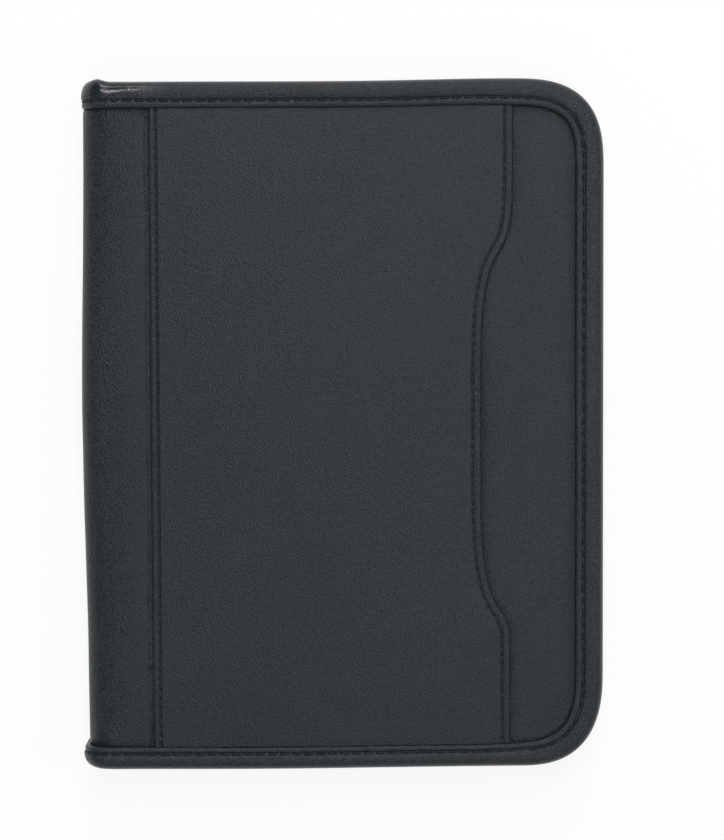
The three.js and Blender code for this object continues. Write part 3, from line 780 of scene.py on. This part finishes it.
# The panel's points beside an edge: close over its turn and in its stitched groove
BESIDE_EDGE = np.array(
    [
        0.0, 0.08, 0.22, 0.45, 0.8, 1.2, 1.6, 1.9, 2.15,
        2.35, 2.55, 2.75, 2.95, 3.15, 3.4, 3.8, 4.5, 5.4,
    ]
)


def wave_edge(step=0.7):
    """The pocket's free edge from tail to head: straight, in to the waist along a cubic, straight,
    out again along a cubic, straight; evenly spaced. Returns the points, the directions in from
    the edge, and the distances along it."""
    tail, waist, head = WAVE_TAIL, WAVE_WAIST, WAVE_HEAD
    stretches = [
        np.linspace((tail, POCKET_TAIL), (tail, -75.7), 60, endpoint=False),
        cubic((tail, -75.7), (tail, -57.2), (waist, -72.0), (waist, -23.8), 80),
        np.linspace((waist, -23.8), (waist, 18.8), 60, endpoint=False),
        cubic((waist, 18.8), (waist, 74.7), (head, 46.5), (head, 85.1), 80),
        np.linspace((head, 85.1), (head, POCKET_HEAD), 61),
    ]
    rough = np.concatenate(stretches)
    along = distances(rough)
    even = np.linspace(0.0, along[-1], int(along[-1] / step))
    points = values_at(even, along, rough)
    return points, sideways(points), even


def hem_height(distance, along, hem):
    """Height over the panel's own level beside a turned edge: round over the edge, a soft ridge,
    then the stitched groove, deepest at each stitch, and level again."""
    edge = np.interp(distance, BESIDE_EDGE[:5], [-0.95, -0.55, -0.27, -0.09, 0.0])
    groove = (0.24 + 0.36 * pulled(along, HEM_PITCH)) * bell(distance, hem, 0.38)
    return edge + 0.18 * bell(distance, 1.2, 0.8) - groove


def pocket_panel():
    """The front pocket: rows from the stitched edge beside the spine to the free edge, with both
    hems, and the middle lifted by the padding and by the empty pocket under it."""
    points, inward, along = wave_edge()
    near = BESIDE_EDGE
    left_x, left_y = np.broadcast_arrays(POCKET_LEFT + near[None, :], points[:, 1:2])
    left = np.stack([left_x, left_y], -1)
    right = points[:, None] + inward[:, None] * near[None, ::-1, None]
    share = np.linspace(0.0, 1.0, 82)[1:-1][None, :, None]
    middle = left[:, -1:] * (1 - share) + right[:, :1] * share
    x, y = np.moveaxis(np.concatenate([left, middle, right], 1), -1, 0)
    from_left = x - POCKET_LEFT
    from_wave = np.full_like(x, 99.0)
    from_wave[:, -len(near) :] = near[::-1]
    inside = np.minimum.reduce([from_left, from_wave, WAVE_HEAD - x + 2.0])
    ends = np.minimum(POCKET_HEAD - y, y - POCKET_TAIL)
    z = POCKET_TOP + hem_height(from_left, y, HEM) + hem_height(from_wave, along[:, None], WAVE_HEM)
    z = z + 0.42 * ramp(inside, 3.0, 30.0) * ramp(ends, 0.0, 22.0)
    z = z + 0.07 * ripple(x, y, 42.0, 21) * ramp(inside, 2.5, 12.0)
    z = z - 0.08 * (1 - ramp(ends, 0.0, 3.0))
    under = np.full_like(z, POCKET_LOW)
    under[:, [0, -1]] += 0.35
    panel = flat_sheet(x, y + bulge(x, y), z, np.minimum(under, z - 0.1))
    add_piece("front_pocket", panel, cover_leather, "front_cover", ["front_pocket_panel"])

    wave = HEM_PITCH * np.arange(1, math.ceil((along[-1] - 3.0) / HEM_PITCH) + 1)
    on_wave = values_at(wave, along, points + inward * WAVE_HEM)
    ahead = values_at(wave, along, np.stack([inward[:, 1], -inward[:, 0]], 1))
    side = HEM_PITCH * np.arange(-34, 34)
    on_side = np.column_stack([np.full(len(side), POCKET_LEFT + HEM), side])
    spots = np.concatenate([on_wave, on_side])
    spots = np.column_stack([spots, np.full(len(spots), POCKET_TOP - 0.32)])
    heading = np.concatenate([ahead, np.tile([0.0, 1.0], (len(side), 1))])
    heading = np.column_stack([heading, np.zeros(len(heading))])
    up = np.tile([0.0, 0.0, 1.0], (len(spots), 1))
    seam = stitches(spots, heading, up, length=2.4, width=0.8)
    add_piece("front_pocket_stitches", seam, seam_thread, "front_cover")


skin("front_skin", "front_cover", ["front_leather", "spine_leather"])
skin("back_skin", "back_cover", ["back_leather"])
pocket_panel()


# The zip

CHAIN_INSET = 4.3  # from the outer edge to the middle of the coil
CHAIN_START = -77.4
TAPE_START = -80.9
TAPE_INSET = (5.1, 5.7)
TAPE_HEIGHTS = {"front_cover": (13.7, 18.3), "back_cover": (5.5, 12.3)}
TOOTH_PITCH = 1.45
# The end stops: how far in from the edge each starts and ends, where it ends along X, its heights
STOP_INSET, STOP_END, STOP_HEIGHT = (3.4, 5.05), -78.2, 2.5
STOP_LOW = {"back": 10.0, "front": 13.5}
# One tooth: how far its wire's middle stands along the chain and out from it, and how thick it is
TOOTH_BEND = np.array(
    [[0.42, 2.75], [0.42, 0.9], [0.3, 0.1], [0.0, -0.22], [-0.3, 0.1], [-0.42, 0.9], [-0.42, 2.75]]
)
TOOTH_GIRTH = np.array([0.3, 0.3, 0.34, 0.38, 0.34, 0.3, 0.3])


def tape(name, cover, replaces):
    """A zip tape: a woven strip on edge, carried along the cover's edge, with a slight wave."""
    low, high = TAPE_HEIGHTS[cover]
    points, inward, along = edge_path(start=TAPE_START)
    outer, inner = TAPE_INSET
    z = low + (high - low) * np.array([0.0, 0.15, 0.5, 0.85, 1.0])
    rim = np.array([0.12, 0.0, 0.0, 0.0, 0.12])
    wave = 0.10 * ripple(along[:, None], z[None] * 6, 22.0, 31 + (cover == "front_cover"))
    inset = np.concatenate([outer + rim + wave, (inner - rim + wave)[:, ::-1]], 1)
    flat = points[:, None] + inward[:, None] * inset[..., None]
    heights = np.broadcast_to(np.concatenate([z, z[::-1]])[None, :, None], (*inset.shape, 1))
    add_piece(name, tube(np.concatenate([flat, heights], -1)), zip_tape, cover, replaces)


def coil_row(name, cover, replaces):
    """A coil row: each tooth is one bend of nylon wire, out from the tape to the chain's middle
    and back, seven rings of six; the two rows stand half a pitch apart so that they mesh."""
    front = cover == "front_cover"
    points, inward, _ = edge_path(CHAIN_INSET, start=CHAIN_START)
    along = distances(points)
    spots = np.arange(0.6 + (TOOTH_PITCH / 2 if front else 0.0), along[-1] - 0.6, TOOTH_PITCH)
    level = np.zeros(len(spots))
    origins = np.column_stack([values_at(spots, along, points), level + MIDDLE])
    into = values_at(spots, along, inward)
    across = np.column_stack([into, level])
    heading = np.column_stack([into[:, 1], -into[:, 0], level])
    rise = np.tile([0.0, 0.0, 1.0 if front else -1.0], (len(spots), 1))
    angle = np.arange(6) * math.pi / 3
    round_x, round_y = (wave(angle) * TOOTH_GIRTH[:, None] for wave in (np.sin, np.cos))
    flat = TOOTH_BEND[:, None] + sideways(TOOTH_BEND)[:, None] * round_y[..., None]
    tooth = strand(np.concatenate([round_x[..., None], flat], -1))
    row = copies(tooth, origins, np.stack([heading, across, rise], 1))
    add_piece(name, row, zip_coil, cover, replaces)


def rounded_box(low, high, radius, rings=5, sides=6):
    """A box whose edges and corners are all rounded: rings of a rounded rectangle that draw in by
    a quarter circle at each end along Z."""
    low, high = np.asarray(low, float), np.asarray(high, float)
    centre = (low + high) / 2
    half = (high - low) / 2
    r = min(radius, *half)
    quarter = np.linspace(0.0, math.pi / 2, sides)
    turn = np.concatenate([quarter + k * math.pi / 2 for k in range(4)])
    corner = np.repeat(np.array([(1, 1), (-1, 1), (-1, -1), (1, -1)]), sides, 0)
    angle = np.linspace(-math.pi / 2, math.pi / 2, 2 * rings)[:, None]
    reach = r * np.cos(angle)
    x = corner[:, 0] * (half[0] - r) + reach * np.cos(turn)
    y = corner[:, 1] * (half[1] - r) + reach * np.sin(turn)
    z = (half[2] - r) * np.sign(angle) + r * np.sin(angle)
    return tube(np.stack(np.broadcast_arrays(x, y, z), -1) + centre)


for side, low in STOP_LOW.items():
    cover = side + "_cover"
    tape(side + "_tape", cover, [side + "_zip_tape"])
    coil_row(side + "_teeth", cover, [side + "_zip_coil"])
    for end, sign in (("head", 1), ("tail", -1)):
        y0, y1 = sorted(sign * (END - inset) for inset in STOP_INSET)
        stop = rounded_box((TAPE_START, y0, low), (STOP_END, y1, low + STOP_HEIGHT), 0.45)
        add_piece(f"{side}_stop_{end}", stop, gunmetal, cover, [f"{side}_zip_stop_{end}"])


# The slider and its pull, on the tail side

SLIDER_X = -70.0
SLIDER_LENGTH, SLIDER_WIDTH = 11.0, 7.6
PULL_Y = -END + 1.6  # the bar under the bail, about which the pull swings


def rounded_outline(x0, z0, x1, z1, radius, sides=6):
    """Points round a rectangle with round corners: a quarter circle about each inner corner."""
    angle = np.linspace(0.0, math.pi / 2, sides) + (np.arange(4) * math.pi / 2)[:, None]
    right, top = np.array([1, 0, 0, 1])[:, None], np.array([1, 1, 0, 0])[:, None]
    x = np.where(right, x1 - radius, x0 + radius) + radius * np.cos(angle)
    z = np.where(top, z1 - radius, z0 + radius) + radius * np.sin(angle)
    return np.stack([x.ravel(), z.ravel()], 1)


def plate(outline, y0, y1, rim):
    """A flat plate standing square to Y, with its rims rounded: rings that draw in at each face."""
    centre = outline.mean(0)
    depths = np.array([y0, y0 + 0.3 * rim, y0 + rim, y1 - rim, y1 - 0.3 * rim, y1])
    draws = np.array([rim, 0.3 * rim, 0.0, 0.0, 0.3 * rim, rim])
    reach = np.linalg.norm(outline - centre, axis=1).mean()
    rings = centre + (outline - centre) * (1 - draws / reach)[:, None, None]
    x, y, z = np.broadcast_arrays(rings[..., 0], depths[:, None], rings[..., 1])
    return tube(np.stack([x, y, z], -1))


def slider_body():
    """Two shield-shaped plates, each a superellipse narrowed towards one end, the web between them
    and a bail over the outer one: a flat strap bent to an arch."""
    face = -END
    turn = np.linspace(0, 2 * math.pi, 48, endpoint=False)
    length = rounded_power(np.cos(turn), 2 / 3.2) * SLIDER_LENGTH / 2
    across = rounded_power(np.sin(turn), 2 / 3.2) * SLIDER_WIDTH / 2
    across = across * (1 - 0.10 * ramp(length, 0.0, SLIDER_LENGTH / 2))
    outline = np.stack([SLIDER_X + length, MIDDLE + across], 1)
    plates = [plate(outline, face + y, face + y + 1.0, 0.35) for y in (2.3, 6.0)]
    web_low = (SLIDER_X - 4.5, face + 2.8, MIDDLE - 0.3)
    web = rounded_box(web_low, (SLIDER_X - 0.5, face + 6.5, MIDDLE + 0.3), 0.15)
    bow = np.linspace(0.0, math.pi, 17)
    arch_x = SLIDER_X - 3.4 * rounded_power(np.cos(bow), 0.5)
    arch = np.stack([arch_x, face + 2.6 - 2.1 * np.sin(bow) ** 0.6], 1)
    strap = np.array([(0.32, 0.8), (0.32, -0.8), (0.2, -1.05), (-0.2, -1.05)])
    strap = np.concatenate([strap, -strap])
    flat = arch[:, None] - sideways(arch)[:, None] * strap[None, :, 0:1]
    heights = np.broadcast_to(MIDDLE + strap[None, :, 1:2], (*flat.shape[:2], 1))
    return merged([*plates, web, tube(np.concatenate([flat, heights], -1))])


def wire_link(radius=0.38, sides=8):
    """A round wire bent to a rounded rectangle in the plane across Y, through the bail."""
    ring = rounded_outline(SLIDER_X, MIDDLE - 2.5, SLIDER_X + 9.6, MIDDLE + 2.5, 1.2)
    path = np.stack([ring[:, 0], np.full(len(ring), PULL_Y), ring[:, 1]], 1)
    tangent = unit(np.roll(path, -1, 0) - np.roll(path, 1, 0))
    normal = unit(np.cross(path[1] - path[0], path[len(path) // 2] - path[0]))
    side = np.cross(tangent, normal)
    angle = (np.arange(sides) * 2 * math.pi / sides)[None, :, None]
    return hoop(path[:, None] + radius * (np.cos(angle) * side[:, None] + np.sin(angle) * normal))


def pull_tab():
    """The leather tab: a flattened round section carried along X. It is narrow and thick where it
    is folded through the link, then wide, ends in a half circle, and is drawn in at its seams."""
    wide, end = 3.4, 28.1  # half of its width, and where its round end starts
    x = [7.55, 7.9, 8.6, 9.4, 10.3, 10.9, 11.6, 12.3, 13.2, 14.6, 17, 20, 23, 26, 28, 29.3, 30.3]
    x = np.array([*x, 31.0, 31.35, 31.5])[:, None]
    half = np.interp(x, [7.5, 7.9, 10.6, 12.3, end], [1.35, 1.5, 1.5, wide, wide])
    round_end = wide * np.sqrt(np.maximum(1 - ((x - end) / 3.42) ** 2, 0.004))
    half = np.where(x > end, round_end, half)
    at = [7.5, 7.9, 8.6, 9.2, 10.6, 12.0, 14.0, 30.3, 31.2, 31.5]
    thick = np.interp(x, at, [0.35, 0.85, 1.1, 1.1, 1.1, 1.0, 0.95, 0.95, 0.75, 0.4])
    turn = np.linspace(0, 2 * math.pi, 28, endpoint=False)
    out, across = (rounded_power(wave(turn), 2 / 4.5) for wave in (np.cos, np.sin))
    seam = 0.16 * bell(np.abs(across * half), 2.5, 0.35) * (x > 12.5)
    y = PULL_Y + thick * out * (1 - seam)
    return tube(np.stack(np.broadcast_arrays(SLIDER_X + x, y, MIDDLE + half * across), -1))


add_piece("slider_body", slider_body(), gunmetal, "zip_slider", ["zip_slider"], flat_above=50)
add_piece("pull_wire_link", wire_link(), gunmetal, "zip_pull", ["pull_link"])
add_piece("pull_leather_tab", pull_tab(), cover_leather, "zip_pull", ["pull_tab"])
tab_x, tab_z = np.meshgrid(SLIDER_X + np.arange(13.4, 28.6, 2.0), MIDDLE + np.array([-2.45, 2.45]))
tab_spots = np.stack([tab_x.ravel(), np.full(tab_x.size, PULL_Y - 0.86), tab_z.ravel()], 1)
tab_heading, tab_up = (np.tile(way, (len(tab_spots), 1)) for way in ((1.0, 0, 0), (0, -1.0, 0)))
tab_seam = stitches(tab_spots, tab_heading, tab_up, length=1.6, width=0.45, rise=0.2)
add_piece("pull_tab_stitches", tab_seam, seam_thread, "zip_pull")


# Linings and padding

LINING_RADIUS = 4.1  # of its own turn round the spine
LINING_FOLDS = {
    "front_cover": ((-85.9, 0.0, 15.0), (-77.5, 0.0, 18.6)),
    "back_cover": ((-85.9, 0.0, 8.6), (-77.5, 0.0, 5.0)),
}


def lining(name, cover, start, inset, outer, replaces):
    """Lining cloth from the middle of the spine, loose round the fold, to the zip tape: a thin
    sheet with faint slack waves that grow towards the fold."""
    front = cover == "front_cover"
    s, y = layer_grid(start, inset, 1.8)
    half = END - inset
    y = y * (1.0 - (half - 108.2) / half * (1.0 - ramp(s, -80.5, -76.0)))
    slack = 0.10 * ripple(s, y, 30.0, 41 + front) * (s > -76.5)
    loose = bell(s, -79.5, 2.5) * (0.35 + 0.15 * ripple(s, y, 26.0, 43))
    under = 0.5 + loose + np.maximum(slack, 0.0) * 0.6
    sheet = folded_sheet(s, y, loose, under, (-82.3, outer), front, LINING_RADIUS)
    add_piece(name, sheet, lining_cloth, ("spine", cover, *LINING_FOLDS[cover]), replaces)


def padding(name, cover, inset, low, high, node):
    """Foam between leather and board: a thin slab that draws in towards its rims."""
    start = -77.0
    s, y = layer_grid(start, inset, 3.0)
    edge = np.minimum.reduce([END - inset - np.abs(y), FORE - inset - s, s - start])
    draw = 0.45 * (1 - ramp(edge, 0.0, 4.0))
    dent = pressed(s, y) if cover == "front_cover" else 0.0
    sheet = flat_sheet(s, y, np.maximum(high - draw - dent, low + draw + 0.1), low + draw)
    add_piece(name, sheet, padding_foam, cover, [node])


# Flat leather pieces of the inside


def block_outline(x0, y0, x1, y1, radius, least=0.15):
    """A rectangle with round corners, as a function of an inset."""

    def at(inset):
        r = max(radius - inset, least)
        return rounded_outline(x0 + inset, y0 + inset, x1 - inset, y1 - inset, r)

    return at


def sew(name, lines, height, out, body, pitch=3.0):
    """Stitches along flat lines at one height, on the face that looks up or down."""
    spots, heading = [], []
    for line in lines:
        along = distances(line)
        place = np.arange(pitch / 2, along[-1] - pitch / 3, pitch)
        here, ahead = (values_at(place + on, along, line) for on in (0.0, 0.2))
        spots.append(np.column_stack([here, np.full(len(here), height)]))
        heading.append(np.column_stack([ahead - here, np.zeros(len(here))]))
    spots, heading = np.concatenate(spots), np.concatenate(heading)
    up = np.tile([0.0, 0.0, out], (len(spots), 1))
    seam = stitches(spots, heading, up, length=2.3, width=0.5, rise=0.2)
    add_piece(name, seam, seam_thread, body)


def closed_line(line):
    """A line brought back to its start."""
    return np.vstack([line, line[:1]])


def leaf(name, outline_at, visible, hidden, nodes, hem=2.1, hole_at=None):
    """A flat piece of leather in the front cover, with turned edges: rings round its outline from
    the hidden face over the rim to the visible one, with a shallow groove under the stitches; a
    hole has the same rim."""
    out = 1.0 if visible > hidden else -1.0
    thick = abs(visible - hidden)
    turned = [(0.3, 1.0), (0.05, 0.8), (0.0, 0.5), (0.05, 0.2)]
    rise = [(inset, -share * thick) for inset, share in turned] + [(0.3, -0.02)]
    groove = [(-0.6, 0.03), (-0.25, -0.03), (0.0, -0.10), (0.25, -0.03), (0.6, 0.02)]
    steps = rise + [(hem + beside, height) for beside, height in groove]
    rings = [(outline_at(inset), height) for inset, height in steps]
    if hole_at is not None:
        rings += [(hole_at(-inset), height) for inset, height in steps[::-1]]
    levels = [np.full(len(flat), visible + out * height) for flat, height in rings]
    solid = np.array([np.column_stack([flat, level]) for (flat, _), level in zip(rings, levels)])
    shape = tube(solid) if hole_at is None else hoop(solid)
    add_piece(name, shape, inner_leather, "front_cover", nodes, flat_above=60)
    sew(name + "_stitches", [closed_line(outline_at(hem))], visible, out, "front_cover")


def organiser():
    """Inside the front cover: a document pocket, three card slots that step down it, and a framed
    clear window. The visible faces look down when the case is closed."""
    inset, left, top = 9.5, -70.0, 96.0
    outline = edge_path(inset, start=left, step=2.0)[0]
    corner_y = END - HEAD_CORNER[1]
    outline = outline[outline[:, 1] < corner_y - 4.0]
    cut = [(FORE - inset, corner_y - 2.0), (FORE - 2 * inset, top), (left, top)]
    outline = evenly(np.concatenate([outline, cut, outline[:1]]), 2.0)[0][:-1]

    def document_outline(draw):
        return outline + draw * sideways(outline, closed=True)

    leaf("inside_document_pocket", document_outline, *DOCUMENT_POCKET, ["document_pocket"])
    x0, x1 = -24.0, 74.0
    for slot in range(3):
        card = block_outline(x0, 34.0, x1, 90.0 - 11.0 * slot, 1.5)
        face = SLOT_FACE - LEAF_STEP * slot
        leaf(f"inside_card_slot_{slot + 1}", card, face, face + LEAF, [f"card_slot_{slot + 1}"])
    frame_at = block_outline(x0, -32.0, x1, 28.0, 2.0)
    hole_x, hole_y = (x0 + 6.0, x1 - 6.0), (-26.0, 22.0)
    hole_at = block_outline(hole_x[0], hole_y[0], hole_x[1], hole_y[1], 2.0, least=0.2)
    back = SLOT_FACE + LEAF
    leaf("inside_window_frame", frame_at, SLOT_FACE, back, ["window_frame"], hole_at=hole_at)
    sew("inside_window_stitches", [closed_line(hole_at(-2.0))], SLOT_FACE, -1.0, "front_cover")
    xs, ys = (np.linspace(a + 0.3, b - 0.3, n) for (a, b), n in ((hole_x, 50), (hole_y, 30)))
    x, y = np.meshgrid(xs, ys, indexing="ij")
    rim = np.minimum.reduce([x - hole_x[0], hole_x[1] - x, y - hole_y[0], hole_y[1] - y])
    belly = 0.12 * ripple(x, y, 40.0, 51) * ramp(rim, 0, 8)
    film = flat_sheet(x, y, back, back - 0.3 + np.minimum(belly, 0))
    add_piece("inside_window_film", film, clear_vinyl, "front_cover", ["clear_window"])


def notepad():
    """The pad on the back cover: card, sheets whose edges stand a little uneven, and a cloth header
    tape round the bound edge."""
    x0, x1 = PAD_X
    card_at = block_outline(x0, -PAD_END, x1, PAD_END, 0.6)

    def slab(insets, heights):
        rings = [(card_at(inset), z) for inset, z in zip(insets, heights)]
        return tube(np.array([np.column_stack([flat, np.full(24, z)]) for flat, z in rings]))

    low, high = BACKING
    card = slab((0.1, 0, 0, 0.1), (low, low + 0.1, high - 0.1, high))
    add_piece("pad_card", card, chipboard, "back_cover", ["notepad_backing"], flat_above=40)

    rng = np.random.default_rng(61)
    centre = ((x0 + x1) / 2, 0.0)
    rings = []
    for z in np.linspace(*SHEETS, 30):
        reach = 1.0 - rng.uniform(0.0, 0.0016, 2)
        ring = (card_at(0.0) - centre) * reach + centre
        rings.append(np.column_stack([ring, np.full(24, z)]))
    sheets = tube(np.array(rings))
    add_piece("pad_sheets", sheets, pad_paper, "back_cover", ["notepad_sheets"], flat_above=40)

    start, top, thick = 87.5, 11.7, 0.3  # the tape's own edge, its height, its cloth

    def bound_edge(end, low, high, radius):
        ring = rounded_outline(start - 9, low, end, high, radius)
        return np.concatenate([[(start, low)], np.roll(ring, 6, 0)[:12], [(start, high)]])

    outer = bound_edge(PAD_END + 2 * thick, PAD_FOOT, top, 0.5)
    inner = bound_edge(PAD_END + thick, PAD_FOOT + thick, top - thick, 0.25)
    section = np.concatenate([outer, inner[::-1]])
    stations = [np.column_stack([np.full(28, x), section]) for x in np.linspace(x0, x1, 40)]
    header, node = tube(np.stack(stations)), ["notepad_header"]
    add_piece("pad_header_tape", header, header_cloth, "back_cover", node, flat_above=35)


def pad_pocket():
    """The pocket that holds the pad's card: a leaf that rises over the card inside its sewn rim,
    open along its hemmed upper edge."""
    (x0, x1), mouth, around = PAD_X, -26.5, 3.0
    xs, ys = np.linspace(x0 - around, x1 + around, 150), np.linspace(-PAD_END - around, mouth, 90)
    x, y = np.meshgrid(xs, ys, indexing="ij")
    rim = np.minimum.reduce([x - x0 + around, x1 + around - x, y + PAD_END + around])
    z = 5.9 + 1.3 * ramp(rim, 0.9, 2.7) - 0.3 * (1 - ramp(rim, 0.0, 0.35))
    z = z - 0.25 * (1 - ramp(mouth - y, 0.0, 0.5)) - 0.12 * bell(mouth - y, 2.4, 0.4)
    z = z + 0.04 * ripple(x, y, 30.0, 62) * ramp(rim, 3.0, 9.0)
    panel = flat_sheet(x, y, z, np.maximum(z - 0.6, PAD_FOOT))
    add_piece("pad_pocket_leaf", panel, inner_leather, "back_cover", ["pad_pocket"])
    left, right, low = x0 - 2.3, x1 + 2.3, -PAD_END - 2.3
    sides = np.array([(left, mouth - 1.5), (left, low), (right, low), (right, mouth - 1.5)])
    sew("pad_pocket_side_stitches", [sides], 5.9, 1.0, "back_cover")
    hem = np.array([(x0 - 1, mouth - 2.4), (x1 + 1, mouth - 2.4)])
    sew("pad_pocket_hem_stitches", [hem], 7.12, 1.0, "back_cover")


def pen_loop():
    """The pen loop: a leather band bent into a flattened ring, each edge of it turned, on a tab
    sewn to the lining: a rounded section carried round the ring."""
    x0, x1, y0, y1, top = -73.5, -59.5, 8.0, 32.0, 15.7
    half = 0.55  # half of the band's thickness, with its turned edges
    mid = rounded_outline(x0 + half, PAD_FOOT + half, x1 - half, top - half, 4.6, sides=12)
    profile = rounded_outline(y0, -0.5, y1, 0.5, 0.45, sides=5)
    y, offset = profile[:, 0], profile[:, 1]
    groove = 0.08 * (bell(y, y0 + 2.0, 0.4) + bell(y, y1 - 2.0, 0.4))
    offset = offset - np.sign(offset) * groove
    ring = mid[:, None] - sideways(mid, closed=True)[:, None] * offset[None, :, None]
    sections = np.stack([ring[..., 0], np.broadcast_to(y, ring.shape[:2]), ring[..., 1]], -1)
    tab_top = PAD_FOOT + 1.1
    tab = rounded_box((-65.5, y0, PAD_FOOT), (-54.6, y1, tab_top), 0.4)
    loop = merged([hoop(sections), tab])
    add_piece("pen_loop_band", loop, inner_leather, "back_cover", ["pen_loop"])
    line = np.array([(-55.8, y0 + 1.0), (-55.8, y1 - 1.0)])
    sew("pen_loop_stitches", [line, line + (-2.2, 0.0)], tab_top + 0.02, 1.0, "back_cover")


front_linings = ["front_lining", "spine_lining"]
lining("front_lining_cloth", "front_cover", -90.2, 5.75, FRONT_LINING_TOP, front_linings)
lining("back_lining_cloth", "back_cover", -92.9, 3.2, DEPTH - BACK_LINING_TOP, ["back_lining"])
padding("front_padding", "front_cover", 3.2, 20.4, 21.55, "front_foam")
padding("back_padding", "back_cover", 9.9, 1.45, 2.85, "back_foam")
organiser()
notepad()
pad_pocket()
pen_loop()
for node in ("front_board", "back_board", "spine_board"):
    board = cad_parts[node]
    board.data.materials.clear()
    board.data.materials.append(black_board)


# Camera, lamps and floor


def look(name, place, turn, lens):
    """The camera, from its place in metres and its turns about X, Y and Z in degrees."""
    data = bpy.data.cameras.new(name)
    data.lens = lens
    data.clip_start, data.clip_end = 0.01, 20.0
    camera = bpy.data.objects.new(name, data)
    bpy.context.scene.collection.objects.link(camera)
    x, y, z = (Matrix.Rotation(math.radians(v), 3, axis) for v, axis in zip(turn, "XYZ"))
    camera.matrix_world = Matrix.Translation(place) @ (z @ y @ x).transposed().to_4x4()
    bpy.context.scene.camera = camera


def lamp(name, place, size, share, target=(0, 0, 0), colour="#ffffff"):
    """An area lamp whose share is how much of a surface's written colour it brings out where it
    is aimed: power = share * pi^2 * distance^2 / upright, where upright is how squarely it faces
    a level surface, from 0 to 1."""
    data = bpy.data.lights.new(name, "AREA")
    data.shape = "DISK"
    data.size = size
    data.color = linear(colour)[:3]
    lit = bpy.data.objects.new(name, data)
    bpy.context.scene.collection.objects.link(lit)
    lit.location = place
    aim = Vector(place) - Vector(target)
    lit.rotation_mode = "QUATERNION"
    lit.rotation_quaternion = aim.to_track_quat("Z", "Y")
    upright = aim.normalized().z
    data.energy = share * math.pi**2 * aim.length_squared / max(upright, 0.2)


def white_where_seen(tree):
    """1 where the camera, a mirror or glass looks at a floor or sky, and 0 for the light on it."""
    path = add(tree, "LightPath")
    mirrored = {0: path.outputs["Is Glossy Ray"], 1: path.outputs["Is Transmission Ray"]}
    seen = {0: path.outputs["Is Camera Ray"], 1: add(tree, "Math", mirrored, operation="MAXIMUM")}
    return add(tree, "Math", seen, operation="MAXIMUM")


FLOOR_REACH, FLOOR_Z = 12.0, -0.0004  # metres: out to each side, and just under the case
PAPER_WHITE = 0.865  # the glow that, with the light on the floor, comes to white


def lay_floor():
    """A wide floor: white to the camera, with the case's shadow kept, and grey to the light that
    bounces off it."""
    turns = ((-1, -1), (1, -1), (1, 1), (-1, 1))
    corners = [(x * FLOOR_REACH, y * FLOOR_REACH, FLOOR_Z) for x, y in turns]
    mesh = bpy.data.meshes.new("floor")
    mesh.from_pydata(corners, [], [(0, 1, 2, 3)])
    floor = bpy.data.objects.new("floor", mesh)
    bpy.context.scene.collection.objects.link(floor)
    material, tree, _ = new_material("pale_paper_floor")
    paper = {"Base Color": linear("#727272"), "Roughness": 0.9, "Specular IOR Level": 0.0}
    glow = add(tree, "Math", {0: white_where_seen(tree), 1: PAPER_WHITE}, operation="MULTIPLY")
    both = {0: add(tree, "BsdfPrincipled", paper), 1: add(tree, "Emission", {"Strength": glow})}
    add(tree, "OutputMaterial", {"Surface": add(tree, "AddShader", both)})
    mesh.materials.append(material)


def set_sky(level):
    """An even sky that lights softly. Near the horizon, where it is the background, the camera,
    mirrors and glass see it white."""
    world = bpy.data.worlds.new("soft_studio")
    bpy.context.scene.world = world
    world.use_nodes = True
    tree = world.node_tree
    tree.nodes.clear()
    way = add(tree, "SeparateXYZ", {"Vector": add(tree, "TexCoord").outputs["Generated"]})
    horizon = {"Value": way.outputs["Z"], "From Min": 0.3, "From Max": 0.18}
    low = add(tree, "MapRange", horizon)
    shown = add(tree, "Math", {0: white_where_seen(tree), 1: low}, operation="MULTIPLY")
    strength = add(tree, "MapRange", {"Value": shown, "To Min": level, "To Max": 1.0})
    back = add(tree, "Background", {"Color": (1, 1, 1, 1), "Strength": strength})
    add(tree, "OutputWorld", {"Surface": back})


look("photo_view", (-0.0065, 0.0431, 0.776), (3.095, 1.0, 0.294), 94.0)
lamp("overhead_sheet", (0.05, 0.05, 1.6), 1.2, 0.04)
lamp("overhead_spot", (0.14, 0.17, 1.5), 0.22, 0.03, (0.04, 0.08, 0.02), "#fff4f6")
lamp("head_softbox", (0.15, 0.95, 1.45), 0.5, 0.13)
lamp("spine_head_spot", (-0.2, 0.52, 1.5), 0.16, 0.12, (-0.07, 0.11, 0.02), "#ffeff3")
lamp("far_softbox", (0.0, 1.5, 1.0), 0.7, 0.11)
lamp("front_softbox", (0.1, -0.75, 1.5), 0.8, 0.12)
lamp("fore_softbox", (1.35, 0.2, 1.2), 1.0, 0.08)
lay_floor()
set_sky(0.20)

bpy.context.scene.view_settings.view_transform = "Standard"
